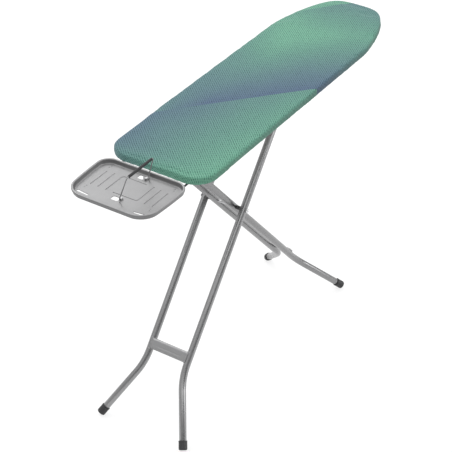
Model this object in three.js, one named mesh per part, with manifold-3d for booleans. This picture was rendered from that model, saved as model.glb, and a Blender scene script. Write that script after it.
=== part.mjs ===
// Folding ironing board: four-tube scissor stand, padded board, iron tray with wire rest.
// Millimetres, +Z up. Board coordinates: x runs from the square end (0) to the nose,
// y is the lateral direction (0 on the centre line), z is measured from the floor.
// The finished group is moved so that its box stands on z = 0, centred on x = y = 0.

import * as THREE from 'three';
import { mergeVertices } from 'three/addons/utils/BufferGeometryUtils.js';
import Module from 'manifold-3d';

const wasm = await Module();
wasm.setup();

// ------------------------------------------------------------- driving dimensions
const GAP = 0.3;                 // clearance between touching pieces
const BOARD_TOP = 895.0;         // ironing surface above the floor
const BOARD_BOTTOM = 870.4;      // underside of the cover hem
const BOARD_HALF = 164.5;        // half width of the covered board
const CORNER_R = 68;             // square end corner radius
const SKIN = 1.6;                // cover cloth
const RIM_R = 7.5;               // perimeter tube radius
const RIM_INSET = SKIN + 0.5 + RIM_R;
const RIM_Z = 879.5;
const PANEL_Z = [887.4, 888.5];  // perforated top sheet
const PAD_Z = [888.8, 893.1];    // foam under-pad

const LEG_R = 11;                // 22 mm leg tube
const LEG_BORE = 9.8;            // 1.2 mm wall
const A_Y = 67.5;                // outer frame, tube centre lines
const T_Y = 31;                  // inner frame, tube centre lines
const AXLE = new THREE.Vector3(351.4, 0, 573.2);
const T_TOP = new THREE.Vector3(107.9, 0, 848.4);
const A_TOP = new THREE.Vector3(574.0, 0, 848.4);
const A_KNEE = new THREE.Vector3(17.5, A_Y, 160.4);
const T_KNEE = new THREE.Vector3(730.5, T_Y, 144.7);
const A_FOOT = new THREE.Vector3(-105.7, 151.5, 7.9);
const T_FOOT = new THREE.Vector3(849.0, 147.5, 8.8);
const A_BEND_R = 200;
const T_BEND_R = 150;
const CAP_R = 13;
const CAP_LEN = 28;
const CAP_END = 6;
const PIN_R = 4;                 // 8 mm axles
const BORE_R = 4.45;            // twelve-sided bores, 0.3 clear of the pins

const CROSS_X = [60, 150, 520, 842];
const CROSS_Z = [877.2, 887.0];
const RAIL_X = [508, 852];

const ROD_Y = 105.5;
const ROD_IN = 58;               // the rod steps in under the tray
const ROD_Z = 867.0;
const ROD_R = 3;

const TRAY_TOP = 893.2;
const TRAY_FLOOR = 880.2;
const TRAY_UNDER = 878.2;

const HOOP_Y = -12.5;            // wire rest hinge line
const HOOP_Z = 883.2;
const HOOP_R = 1.5;
const HOOP_X = [-172.6, -39.6];
const HOOP_BAR_X = [-165.5, -46.7];
const HOOP_BAR = new THREE.Vector2(-36.3, 956.3); // (y, z)

// ------------------------------------------------------------- materials
const paint = new THREE.Color(0x8e8f92);
function material(hex, roughness, metalness) {
	return new THREE.MeshStandardMaterial({ color: hex, roughness, metalness });
}
const MAT = {
	tube: () => material(paint, 0.38, 0.25),
	steel: () => material(0x9a9c9f, 0.35, 0.9),
	chrome: () => material(0xd8dadc, 0.12, 1),
	black: () => material(0x2b2b2d, 0.6, 0),
	tray: () => material(0xb9babb, 0.55, 0),
	cloth: () => material(0x7db39a, 0.95, 0),
	foam: () => material(0xd9d6cc, 1, 0),
	sleeve: () => material(0x3d3a3a, 0.7, 0),
};

// ------------------------------------------------------------- solid helpers
function solid(geometry) {
	let g = geometry.clone();
	for (const name of Object.keys(g.attributes)) if (name !== 'position') g.deleteAttribute(name);
	g = mergeVertices(g, 1e-4);
	const p = g.attributes.position.array;
	const faces = [];
	let volume = 0;
	for (let i = 0; i < g.index.count; i += 3) {
		const [a, b, c] = [g.index.getX(i), g.index.getX(i + 1), g.index.getX(i + 2)];
		if (a === b || b === c || a === c) continue; // collapsed on the axis of a turned profile
		faces.push([a, b, c]);
		const [ax, ay, az, bx, by, bz, cx, cy, cz] = [...p.slice(3 * a, 3 * a + 3), ...p.slice(3 * b, 3 * b + 3), ...p.slice(3 * c, 3 * c + 3)];
		volume += ax * (by * cz - bz * cy) - ay * (bx * cz - bz * cx) + az * (bx * cy - by * cx);
	}
	const tri = volume < 0 ? faces.map(([a, b, c]) => [a, c, b]) : faces;
	return new wasm.Manifold(new wasm.Mesh({
		numProp: 3,
		vertProperties: new Float32Array(p),
		triVerts: new Uint32Array(tri.flat()),
	}));
}
function geometryOf(manifold) {
	const mesh = manifold.getMesh();
	const g = new THREE.BufferGeometry();
	g.setAttribute('position', new THREE.BufferAttribute(new Float32Array(mesh.vertProperties), 3));
	g.setIndex(new THREE.BufferAttribute(new Uint32Array(mesh.triVerts), 1));
	g.computeVertexNormals();
	return g;
}
const board = new THREE.Group();
function piece(name, shape, mat) {
	const g = shape.getMesh ? geometryOf(shape) : shape;
	const mesh = new THREE.Mesh(g, mat);
	mesh.name = name;
	board.add(mesh);
	return mesh;
}
function ngon(r, sides, phase = 0.5) {
	const pts = [];
	for (let i = 0; i < sides; i++) {
		const a = ((i + phase) / sides) * Math.PI * 2;
		pts.push(new THREE.Vector2(r * Math.cos(a), r * Math.sin(a)));
	}
	return new THREE.Shape(pts);
}
// A path given as stations, so that straight runs take one step and bends take several.
class StationPath extends THREE.Curve {
	constructor(stations) { super(); this.stations = stations; }
	at(u) { return this.stations[Math.round(u * (this.stations.length - 1))]; }
	getPoint(u) { return this.at(u).p.clone(); }
	getPointAt(u) { return this.at(u).p.clone(); }
	getTangent(u) { return this.at(u).t.clone(); }
	getTangentAt(u) { return this.at(u).t.clone(); }
	getSpacedPoints(n) { return this.stations.slice(0, n + 1).map((s) => s.p.clone()); }
}
function filletPath(points, radii, steps = 6) {
	const st = [];
	const dir = (a, b) => b.clone().sub(a).normalize();
	st.push({ p: points[0].clone(), t: dir(points[0], points[1]) });
	for (let i = 1; i < points.length - 1; i++) {
		const d0 = dir(points[i - 1], points[i]);
		const d1 = dir(points[i], points[i + 1]);
		const angle = d0.angleTo(d1);
		const r = radii[i - 1];
		const cut = r * Math.tan(angle / 2);
		const start = points[i].clone().addScaledVector(d0, -cut);
		const inward = d1.clone().sub(d0).normalize();
		const centre = points[i].clone().addScaledVector(inward, r / Math.cos(angle / 2));
		const radial = start.clone().sub(centre).normalize();
		for (let k = 0; k <= steps; k++) {
			const a = (k / steps) * angle;
			const p = centre.clone().addScaledVector(radial, r * Math.cos(a)).addScaledVector(d0, r * Math.sin(a));
			const t = d0.clone().multiplyScalar(Math.cos(a)).addScaledVector(radial, -Math.sin(a)).normalize();
			st.push({ p, t });
		}
	}
	const n = points.length;
	st.push({ p: points[n - 1].clone(), t: dir(points[n - 2], points[n - 1]) });
	return st;
}
function sweep(stations, r, sides) {
	return solid(new THREE.ExtrudeGeometry(ngon(r, sides), {
		steps: stations.length - 1, bevelEnabled: false, extrudePath: new StationPath(stations),
	}));
}
function pipe(stations, r, bore, sides = 18, boreSides = 10) {
	const outer = sweep(stations, r, sides);
	const ext = stations.map((s) => ({ p: s.p.clone(), t: s.t.clone() }));
	ext[0].p.addScaledVector(ext[0].t, -0.25);
	ext[ext.length - 1].p.addScaledVector(ext[ext.length - 1].t, 0.25);
	return outer.subtract(sweep(ext, bore, boreSides));
}
function box(x0, x1, y0, y1, z0, z1) {
	const g = new THREE.BoxGeometry(x1 - x0, y1 - y0, z1 - z0);
	g.translate((x0 + x1) / 2, (y0 + y1) / 2, (z0 + z1) / 2);
	return solid(g);
}
// cylinder between two points
function rod(a, b, r, sides = 20, r2 = r) {
	const len = a.distanceTo(b);
	const g = new THREE.CylinderGeometry(r2, r, len, sides);
	g.translate(0, len / 2, 0);
	g.applyQuaternion(new THREE.Quaternion().setFromUnitVectors(new THREE.Vector3(0, 1, 0), b.clone().sub(a).normalize()));
	g.translate(a.x, a.y, a.z);
	return solid(g);
}
const V = (x, y, z) => new THREE.Vector3(x, y, z);
const yRod = (x, z, y0, y1, r, sides = 16) => rod(V(x, y0, z), V(x, y1, z), r, sides);
const xRod = (y, z, x0, x1, r, sides = 20) => rod(V(x0, y, z), V(x1, y, z), r, sides);
const zRod = (x, y, z0, z1, r, sides = 16) => rod(V(x, y, z0), V(x, y, z1), r, sides);
function lathe(profile, sides, origin, axis) {
	const g = new THREE.LatheGeometry(profile.map(([r, h]) => new THREE.Vector2(r, h)), sides);
	g.applyQuaternion(new THREE.Quaternion().setFromUnitVectors(new THREE.Vector3(0, 1, 0), axis.clone().normalize()));
	g.translate(origin.x, origin.y, origin.z);
	return solid(g);
}
function slab(points, z0, z1) {
	const g = new THREE.ExtrudeGeometry(new THREE.Shape(points), { depth: z1 - z0, bevelEnabled: false });
	g.translate(0, 0, z0);
	return solid(g);
}
// slab with rounded edges; the points are the widest outline
function roundedSlab(points, z0, z1, r, segments = 3) {
	const g = new THREE.ExtrudeGeometry(new THREE.Shape(inset(points, r)), {
		depth: z1 - z0 - 2 * r, bevelEnabled: true, bevelThickness: r, bevelSize: r, bevelSegments: segments,
	});
	g.translate(0, 0, z0 + r);
	return solid(g);
}
// moves a smooth convex outline inwards
function inset(points, d) {
	const n = points.length;
	return points.map((p, i) => {
		const a = points[(i + n - 1) % n];
		const b = points[(i + 1) % n];
		const e0 = p.clone().sub(a).normalize();
		const e1 = b.clone().sub(p).normalize();
		const n0 = new THREE.Vector2(-e0.y, e0.x);
		const n1 = new THREE.Vector2(-e1.y, e1.x);
		const m = n0.clone().add(n1).normalize();
		return p.clone().addScaledVector(m, d / Math.max(0.5, m.dot(n0)));
	});
}

// ------------------------------------------------------------- board outline
// counter-clockwise, starting at the middle of the square end on the -y side
function outline() {
	const half = [];
	half.push(new THREE.Vector2(0, 0));
	for (let i = 0; i <= 5; i++) {
		const a = (i / 5) * Math.PI / 2;
		half.push(new THREE.Vector2(CORNER_R - CORNER_R * Math.cos(a), BOARD_HALF - CORNER_R + CORNER_R * Math.sin(a)));
	}
	half.push(new THREE.Vector2(480, BOARD_HALF));
	half.push(new THREE.Vector2(860, BOARD_HALF));
	const nose = new THREE.SplineCurve([
		[890, 164.2], [925, 159.6], [970, 150.2], [1020, 137.3], [1060, 123.6], [1090, 109.6],
		[1112, 96.2], [1128, 81.0], [1138.5, 63.5], [1144, 43], [1146, 20], [1146.3, 0],
	].map(([x, y]) => new THREE.Vector2(x, y)));
	for (const p of nose.getSpacedPoints(13)) half.push(p);
	const loop = [];
	// -y side first so that the loop runs counter-clockwise (square end -> -y -> nose -> +y)
	for (let i = 0; i < half.length; i++) loop.push(new THREE.Vector2(half[i].x, -half[i].y));
	for (let i = half.length - 2; i > 0; i--) loop.push(half[i].clone());
	return loop;
}
const OUT = outline();

// ------------------------------------------------------------- perimeter tube
// one tube bent into a loop, its two ends butted with a small seam in the middle of the square end
function rimStations() {
	const line = inset(OUT, RIM_INSET);
	const pts = line.slice(1).map((p) => V(p.x, p.y, RIM_Z));
	pts.unshift(V(line[0].x, -GAP, RIM_Z));
	pts.push(V(line[0].x, GAP, RIM_Z));
	return pts.map((p, i) => {
		const a = pts[Math.max(0, i - 1)];
		const c = pts[Math.min(pts.length - 1, i + 1)];
		const t0 = p.clone().sub(a).normalize(), t1 = c.clone().sub(p).normalize();
		return { p, t: t0.add(t1).normalize() };
	});
}
piece('board_rim', pipe(rimStations(), RIM_R, RIM_R - 1.1, 12, 8), MAT.tube());
const rimClear = sweep(rimStations(), RIM_R + GAP + 0.25, 12);

// ------------------------------------------------------------- perforated top sheet
{
	let panel = slab(inset(OUT, 5), PANEL_Z[0], PANEL_Z[1]);
	let cutter = null;
	for (let i = 0; i < 12; i++) {
		for (let j = -1; j <= 1; j++) {
			const x = 60 + i * 86 + (j ? 43 : 0);
			const y = j * 78;
			if (x > 1010 && j) continue;
			const c = zRod(x, y, PANEL_Z[0] - 1, PANEL_Z[1] + 1, 20, 6);
			cutter = cutter ? cutter.add(c) : c;
		}
	}
	panel = panel.subtract(cutter);
	piece('top_panel', panel, MAT.steel());
}

// ------------------------------------------------------------- pad and cover
piece('foam_pad', roundedSlab(inset(OUT, SKIN + 2.8), PAD_Z[0], PAD_Z[1], 2.1, 2), MAT.foam());
{
	const outer = roundedSlab(OUT, BOARD_BOTTOM, BOARD_TOP, 6, 2);
	const inner = roundedSlab(inset(OUT, SKIN), BOARD_BOTTOM + 1.2, BOARD_TOP - SKIN, 4.4, 2);
	const mouth = slab(inset(OUT, 16), BOARD_BOTTOM - 5, BOARD_BOTTOM + 8);
	piece('cover', outer.subtract(inner).subtract(mouth), MAT.cloth());
}

// ------------------------------------------------------------- cross members under the sheet
CROSS_X.forEach((x, i) => {
	let bar = box(x - 10, x + 10, -158, 158, CROSS_Z[0], CROSS_Z[1]);
	bar = bar.subtract(box(x - 8.6, x + 8.6, -170, 170, CROSS_Z[0] + 1.4, CROSS_Z[1] - 1.4));
	bar = bar.subtract(rimClear);
	// keep only the part inside the loop
	bar = bar.intersect(box(x - 12, x + 12, -153, 153, 860, 900));
	piece(`cross_member_${i + 1}`, bar, MAT.steel());
});

// ------------------------------------------------------------- pivot bracket of the inner frame
{
	const z1 = CROSS_Z[0] - GAP, z0 = z1 - 2;
	let b = box(48, 162, -58, 58, z0, z1);
	const cheek = (y0, y1) => {
		const s = new THREE.Shape([
			new THREE.Vector2(84, z1), new THREE.Vector2(84, 858), new THREE.Vector2(95, 841),
			new THREE.Vector2(101, 837.5), new THREE.Vector2(115, 837.5), new THREE.Vector2(121, 841),
			new THREE.Vector2(132, 858), new THREE.Vector2(132, z1),
		]);
		const g = new THREE.ExtrudeGeometry(s, { depth: y1 - y0, bevelEnabled: false });
		g.rotateX(Math.PI / 2);
		g.translate(0, y1, 0);
		return solid(g);
	};
	b = b.add(cheek(44, 46.5)).add(cheek(-46.5, -44));
	b = b.subtract(yRod(T_TOP.x, T_TOP.z, -60, 60, BORE_R, 12));
	for (const x of [CROSS_X[0], CROSS_X[1]]) for (const y of [-51, 51]) b = b.subtract(zRod(x, y, z0 - 5, z1 + 5, 2.8));
	piece('pivot_bracket', b, MAT.steel());
	let k = 1;
	for (const x of [CROSS_X[0], CROSS_X[1]]) for (const y of [-51, 51]) {
		piece(`bracket_rivet_${k++}`, lathe([[0, -2.4], [3.8, -1.8], [5, 0], [2.4, 0], [2.4, 2.2], [0, 2.2]], 10, V(x, y, z0 - 0.1), V(0, 0, 1)), MAT.steel());
	}
	piece('pivot_rod', yRod(T_TOP.x, T_TOP.z, -53, 53, PIN_R), MAT.steel());
	for (const [n, s] of [['pivot_cap_left', 1], ['pivot_cap_right', -1]]) {
		piece(n, lathe([[0, 6.4], [4.3, 6.4], [4.3, 0], [7.5, 0], [7.5, 4.5], [6, 6.8], [0, 7.6]], 18, V(T_TOP.x, s * 46.9, T_TOP.z), V(0, s, 0)), MAT.black());
	}
	const sp = yRod(T_TOP.x, T_TOP.z, -19.6, 19.6, 7).subtract(yRod(T_TOP.x, T_TOP.z, -25, 25, BORE_R, 12));
	piece('pivot_spacer', sp, MAT.black());
}

// ------------------------------------------------------------- leg tubes
const tDir = T_KNEE.clone().setY(0).sub(AXLE).normalize();
const aDir = A_KNEE.clone().setY(0).sub(AXLE).normalize();
function legStations(top, knee, foot, over, bendR, y, s) {
	const t0 = V(top.x, 0, top.z);
	const k = V(knee.x, s * knee.y, knee.z);
	const f = V(foot.x, s * foot.y, foot.z);
	const up = t0.clone().sub(V(knee.x, 0, knee.z)).normalize();
	const start = t0.clone().addScaledVector(up, over).setY(s * y);
	const fd = f.clone().sub(k).normalize();
	const end = f.clone().addScaledVector(fd, -(CAP_END + GAP));
	return { st: filletPath([start, k, end], [bendR], 5), fd, f };
}
const legs = {};
function leg(name, top, knee, foot, bendR, y, s, holes) {
	const L = legStations(top, knee, foot, 12, bendR, y, s);
	let t = pipe(L.st, LEG_R, LEG_BORE);
	for (const h of holes) t = t.subtract(yRod(h.x, h.z, s * (y - 20), s * (y + 20), BORE_R, 12));
	piece(name, t, MAT.tube());
	legs[name] = L;
	return L;
}
leg('t_tube_left', T_TOP, T_KNEE, T_FOOT, T_BEND_R, T_Y, 1, [T_TOP, AXLE]);
leg('t_tube_right', T_TOP, T_KNEE, T_FOOT, T_BEND_R, T_Y, -1, [T_TOP, AXLE]);
leg('a_tube_left', A_TOP, A_KNEE, A_FOOT, A_BEND_R, A_Y, 1, [A_TOP, AXLE]);
leg('a_tube_right', A_TOP, A_KNEE, A_FOOT, A_BEND_R, A_Y, -1, [A_TOP, AXLE]);

// ------------------------------------------------------------- foot caps
const capProfile = [[0, CAP_LEN], [9.4, CAP_LEN], [12.2, CAP_LEN - 1.6], [CAP_R, CAP_LEN - 4.2],
	[CAP_R, 0], [LEG_R + GAP + 0.1, 0], [LEG_R + GAP + 0.1, CAP_LEN - CAP_END], [0, CAP_LEN - CAP_END]].reverse();
for (const [tube, name] of [['t_tube_left', 't_foot_cap_left'], ['t_tube_right', 't_foot_cap_right'], ['a_tube_left', 'a_foot_cap_left'], ['a_tube_right', 'a_foot_cap_right']]) {
	const { f, fd } = legs[tube];
	piece(name, lathe(capProfile, 22, f.clone().addScaledVector(fd, -CAP_LEN), fd), MAT.black());
}

// ------------------------------------------------------------- flattened cross tubes
// centre = point on the frame's centre plane, along = leg direction, face = outward normal
function flatBar(centre, along, face, halfSpan, width, thick, offset, clearTubes) {
	const w = width / 2, t = thick / 2, pts = [];
	for (let i = 0; i <= 6; i++) { const a = -Math.PI / 2 + (i / 6) * Math.PI; pts.push([w - t + t * Math.cos(a), t * Math.sin(a)]); }
	for (let i = 0; i <= 6; i++) { const a = Math.PI / 2 + (i / 6) * Math.PI; pts.push([-w + t + t * Math.cos(a), t * Math.sin(a)]); }
	const g = new THREE.ExtrudeGeometry(new THREE.Shape(pts.map(([u, v]) => new THREE.Vector2(u, v))), { depth: 2 * halfSpan, bevelEnabled: false });
	g.translate(0, 0, -halfSpan);
	// local x -> along, local y -> face, local z -> along x face (= +-y)
	const m = new THREE.Matrix4().makeBasis(along, face, along.clone().cross(face));
	g.applyMatrix4(m);
	const c = centre.clone().addScaledVector(face, offset);
	g.translate(c.x, c.y, c.z);
	let b = solid(g);
	for (const y of clearTubes) {
		const p0 = centre.clone().addScaledVector(along, -80).setY(y);
		const p1 = centre.clone().addScaledVector(along, 80).setY(y);
		b = b.subtract(rod(p0, p1, LEG_R + GAP + 0.15, 24));
	}
	return b;
}
{
	const faceA = new THREE.Vector3(-Math.abs(aDir.z), 0, Math.abs(aDir.x)); // towards the square end and up
	const c = AXLE.clone().addScaledVector(aDir, 470);
	let bar = flatBar(c, aDir, faceA, A_Y - 3.5, 34, 12, 6.6, [A_Y, -A_Y]);
	const groove = flatBar(c, aDir, faceA, 42, 5, 4.6, 13.6, []);
	bar = bar.subtract(groove);
	piece('a_crossbar', bar, MAT.tube());
	const faceT = new THREE.Vector3(Math.abs(tDir.z), 0, Math.abs(tDir.x)); // towards the nose and up
	const ct = AXLE.clone().addScaledVector(tDir, 501);
	piece('t_tie_plate', flatBar(ct, tDir, faceT, T_Y + 5.5, 31, 9, 10.2, [T_Y, -T_Y]), MAT.tube());
}

// ------------------------------------------------------------- centre axle
{
	piece('axle', yRod(AXLE.x, AXLE.z, -83, 79.4, PIN_R).add(
		lathe([[0, 0], [6.6, 0], [6.6, 1.6], [4.6, 3.6], [0, 4.4]], 20, V(AXLE.x, 78.8, AXLE.z), V(0, 1, 0))), MAT.steel());
	piece('axle_nut', lathe([[0, 5.2], [4.3, 5.2], [4.3, 0], [7, 0], [7, 3.6], [5.9, 5.6], [3.6, 6.8], [0, 7.2]], 20, V(AXLE.x, -78.8, AXLE.z), V(0, -1, 0)), MAT.chrome());
	for (const [n, s] of [['axle_spacer_left', 1], ['axle_spacer_right', -1]]) {
		const a = s * 42.3, b = s * 56.2;
		piece(n, yRod(AXLE.x, AXLE.z, Math.min(a, b), Math.max(a, b), 6.2, 24).subtract(yRod(AXLE.x, AXLE.z, -80, 80, BORE_R, 12)), MAT.black());
	}
}

// ------------------------------------------------------------- top of the outer frame and its rails
{
	piece('glide_rod', yRod(A_TOP.x, A_TOP.z, -92, 92, PIN_R), MAT.steel());
	for (const [n, s] of [['glide_left', 1], ['glide_right', -1]]) {
		const a = s * 81, b = s * 92.4;
		piece(n, yRod(A_TOP.x, A_TOP.z, Math.min(a, b), Math.max(a, b), 7, 24).subtract(yRod(A_TOP.x, A_TOP.z, -100, 100, BORE_R, 12)), MAT.black());
	}
	const top = CROSS_Z[0] - GAP;
	const profile = [[80, 838.4], [95, 838.4], [95, top - 1.5], [113, top - 1.5], [113, top], [93.5, top], [93.5, 859.6], [80, 859.6], [80, 858.1], [93.5, 858.1], [93.5, 839.9], [80, 839.9]];
	for (const [n, s] of [['rail_left', 1], ['rail_right', -1]]) {
		const pts = profile.map(([y, z]) => new THREE.Vector2(s * y, z));
		if (s < 0) pts.reverse();
		const g = new THREE.ExtrudeGeometry(new THREE.Shape(pts), { depth: RAIL_X[1] - RAIL_X[0], bevelEnabled: false });
		// shape plane (y, z), depth along x
		g.applyMatrix4(new THREE.Matrix4().makeBasis(V(0, 1, 0), V(0, 0, 1), V(1, 0, 0)));
		g.translate(RAIL_X[0], 0, 0);
		let r = solid(g);
		for (const x of [CROSS_X[2], CROSS_X[3]]) r = r.subtract(zRod(x, s * 104.5, top - 8, top + 5, 2.8));
		piece(n, r, MAT.steel());
		let k = 1;
		for (const x of [CROSS_X[2], CROSS_X[3]]) {
			piece(`${n}_rivet_${k++}`, lathe([[0, -2.4], [3.8, -1.8], [5, 0], [2.4, 0], [2.4, 1.7], [0, 1.7]], 10, V(x, s * 104.5, top - 1.6), V(0, 0, 1)), MAT.steel());
		}
	}
}

// ------------------------------------------------------------- height latch
const LATCH = new THREE.Vector3(534, 0, 866.2);
{
	const armT = AXLE.distanceTo(T_TOP), armA = AXLE.distanceTo(A_TOP);
	const a0 = Math.asin((T_TOP.z - AXLE.z) / armT), b0 = Math.asin((A_TOP.z - AXLE.z) / armA);
	const rodX = (deg) => {
		const a = a0 - THREE.MathUtils.degToRad(deg);
		return T_TOP.x + armT * Math.cos(a) + armA * Math.cos(a * b0 / a0);
	};
	let rack = slab([[526, 860.5], [530, 855.6], [846, 855.2], [872, 856.2], [876, 861], [876, 867.6], [862, 868.6], [855, 864.6], [566, 864.6], [545, 870.4], [530, 871.2], [526, 869]].map(([x, z]) => new THREE.Vector2(x, z)), -3, 3);
	// slab was drawn in x-z: stand it up
	rack = solid((() => { const g = geometryOf(rack); g.applyMatrix4(new THREE.Matrix4().makeBasis(V(1, 0, 0), V(0, 0, 1), V(0, -1, 0))); return g; })());
	for (const d of [0, 5, 10, 15, 20]) rack = rack.subtract(yRod(rodX(d), 853.4, -8, 8, 5, 16));
	rack = rack.subtract(yRod(LATCH.x, LATCH.z, -8, 8, 2.8, 16));
	rack = rack.subtract(yRod(867, 862.4, -8, 8, 4.3, 16));
	piece('latch_rack', rack, MAT.steel());
	piece('latch_pin', yRod(LATCH.x, LATCH.z, -15.5, 15.5, 2.5, 16), MAT.steel());
	const z1 = CROSS_Z[0] - GAP;
	let br = box(512, 545, -16, 16, z1 - 1.8, z1);
	br = br.add(box(524, 543, 11.6, 13.4, 858.5, z1)).add(box(524, 543, -13.4, -11.6, 858.5, z1));
	br = br.subtract(yRod(LATCH.x, LATCH.z, -20, 20, 2.8, 16));
	piece('latch_bracket', br, MAT.steel());
	piece('lever_bar', yRod(867, 862.4, -9, 138, PIN_R, 16), MAT.steel());
	const grip = lathe([[0, 38.5], [4.3, 38.5], [4.3, 0], [7, 0], [8.2, 2], [8.6, 6], [7.6, 16], [7.6, 26], [8.6, 36], [8, 41], [5, 43], [0, 43.4]], 14, V(867, 100, 862.4), V(0, 1, 0));
	piece('lever_grip', grip, MAT.black());
	// torsion spring round the pin
	const st = [], turns = 3, per = 8, rr = 5.2;
	const y0 = 4.3, pitch = 1.8;
	const pt = (u) => V(LATCH.x + rr * Math.sin(u * 2 * Math.PI), y0 + pitch * u, LATCH.z - 0.0 + rr * Math.cos(u * 2 * Math.PI));
	for (let i = 0; i <= turns * per; i++) {
		const u = i / per;
		const t = pt(u + 0.001).sub(pt(u - 0.001)).normalize();
		st.push({ p: pt(u), t });
	}
	const first = st[0];
	st.unshift({ p: first.p.clone().addScaledVector(first.t, -14), t: first.t.clone() });
	const last = st[st.length - 1];
	st.push({ p: last.p.clone().addScaledVector(last.t, 12), t: last.t.clone() });
	piece('latch_spring', sweep(st, 0.75, 6), MAT.steel());
}

// ------------------------------------------------------------- tray support rod and its clamps
{
	const path = filletPath([
		V(172, ROD_Y, ROD_Z), V(-72, ROD_Y, ROD_Z), V(-112, ROD_IN, ROD_Z), V(-190, ROD_IN, ROD_Z),
		V(-190, -ROD_IN, ROD_Z), V(-112, -ROD_IN, ROD_Z), V(-72, -ROD_Y, ROD_Z), V(172, -ROD_Y, ROD_Z),
	], [14, 14, 14, 14, 14, 14], 5);
	piece('tray_rod', sweep(path, ROD_R, 14), MAT.steel());
	let k = 1;
	for (const x of [CROSS_X[0], CROSS_X[1]]) for (const s of [1, -1]) {
		const c = box(x - 9, x + 9, s * ROD_Y - 8, s * ROD_Y + 8, ROD_Z - 5.2, CROSS_Z[0] - GAP);
		piece(`rod_clamp_${k++}`, c.subtract(xRod(s * ROD_Y, ROD_Z, x - 20, x + 20, ROD_R + GAP, 16)), MAT.black());
	}
}

// ------------------------------------------------------------- iron tray
function trayOutline(d) {
	// outer (-x) end narrower than the end beside the board; corner radii 46 and 30
	const pts = [];
	const arc = (cx, cy, r, a0, a1, n) => {
		for (let i = 0; i <= n; i++) {
			const a = THREE.MathUtils.degToRad(a0 + ((a1 - a0) * i) / n);
			pts.push(new THREE.Vector2(cx + r * Math.cos(a), cy + r * Math.sin(a)));
		}
	};
	const xo = -222, xi = -25, wo = 134.5, wi = 142;
	arc(xo + 48, -(wo - 46), 48, 180, 267, 7);
	arc(xi - 30, -(wi - 30), 30, 273, 360, 6);
	arc(xi - 30, wi - 30, 30, 0, 87, 6);
	arc(xo + 48, wo - 46, 48, 93, 180, 7);
	return d ? inset(pts, d) : pts;
}
{
	let tray = roundedSlab(trayOutline(0), TRAY_UNDER, TRAY_TOP, 1.2, 1);
	const hollow = (() => {
		// drafted cavity: wide mouth, smaller floor
		const a = trayOutline(4.2), b = trayOutline(8.4);
		const n = a.length, pos = [], idx = [];
		a.forEach((p) => pos.push(p.x, p.y, TRAY_TOP + 1));
		b.forEach((p) => pos.push(p.x, p.y, TRAY_FLOOR));
		for (let i = 0; i < n; i++) { const j = (i + 1) % n; idx.push(n + i, n + j, j, n + i, j, i); }
		const capT = THREE.ShapeUtils.triangulateShape(a, []);
		const capB = THREE.ShapeUtils.triangulateShape(b, []);
		capT.forEach(([p, q, r]) => idx.push(p, q, r));
		capB.forEach(([p, q, r]) => idx.push(n + p, n + r, n + q));
		const g = new THREE.BufferGeometry();
		g.setAttribute('position', new THREE.Float32BufferAttribute(pos, 3));
		g.setIndex(idx);
		return solid(g);
	})();
	tray = tray.subtract(hollow);
	// engraved ribs and curves
	const z0 = TRAY_FLOOR - 0.9, z1 = TRAY_FLOOR + 3, rw = 1.5;
	const stroke = (pts2) => {
		const st = pts2.map((p, i) => {
			const a = pts2[Math.max(0, i - 1)], b = pts2[Math.min(pts2.length - 1, i + 1)];
			return { p: V(p[0], p[1], 0), t: V(b[0] - a[0], b[1] - a[1], 0).normalize() };
		});
		const L = [], R = [];
		st.forEach(({ p, t }) => { L.push(new THREE.Vector2(p.x - t.y * rw, p.y + t.x * rw)); R.push(new THREE.Vector2(p.x + t.y * rw, p.y - t.x * rw)); });
		return slab([...R, ...L.reverse()], z0, z1);
	};
	const cuts = [
		[[-147, 100.5], [-76, 100.5]], [[-147, 76], [-73, 76]],
		[[-147, -76], [-73, -76]], [[-147, -100.5], [-76, -100.5]],
		[[-148, 49.5], [-84, 49.5], [-76.5, 47.5], [-71.5, 42], [-70, 35], [-70, -26]],
		[[-70, -52], [-134, -52], [-141.5, -50], [-146, -44.5], [-147.5, -37], [-147.5, 25]],
		[[-177, -18], [-189, -33.5]], [[-46, -18], [-60, -31.5]],
	];
	for (const c of cuts) tray = tray.subtract(stroke(c));
	// openings for the wire rest and drain slots
	const hole = (pts2) => slab(pts2.map(([x, y]) => new THREE.Vector2(x, y)), TRAY_UNDER - 3, TRAY_FLOOR + 3);
	tray = tray.subtract(hole([[-176, -5], [-172, -8.5], [-160, -8.5], [-158.5, -6], [-158.5, 11], [-161, 14.5], [-173, 14.5], [-176, 11]]));
	tray = tray.subtract(hole([[-56, -6], [-54, -8], [-41, -8], [-39, -5.5], [-39, 12], [-41, 14.5], [-54, 14.5], [-56, 12]]));
	tray = tray.subtract(hole([[-195.5, 74], [-190.5, 74], [-185.5, 112], [-191, 114.5], [-193.5, 113]]));
	tray = tray.subtract(hole([[-190.5, -74], [-195.5, -74], [-193.5, -106], [-191, -108], [-186, -106]]));
	for (const [x, y] of [[-55.5, 107], [-47, 105], [-167, 106], [-159, 104], [-55.5, -107], [-47, -105], [-167, -106], [-159, -104]]) {
		tray = tray.subtract(zRod(x, y, TRAY_FLOOR - 1, TRAY_FLOOR + 2, 1.7, 8));
	}
	piece('tray', tray, MAT.tray());
	let k = 1;
	for (const [x, cy] of [[-51, ROD_Y], [-150, ROD_IN]]) for (const s of [1, -1]) {
		const c = box(x - 12, x + 12, s * cy - 8, s * cy + 8, ROD_Z - 5, TRAY_UNDER - GAP);
		piece(`tray_clip_${k++}`, c.subtract(xRod(s * cy, ROD_Z, x - 20, x + 20, ROD_R + GAP, 16)), MAT.tray());
	}
}

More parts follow.
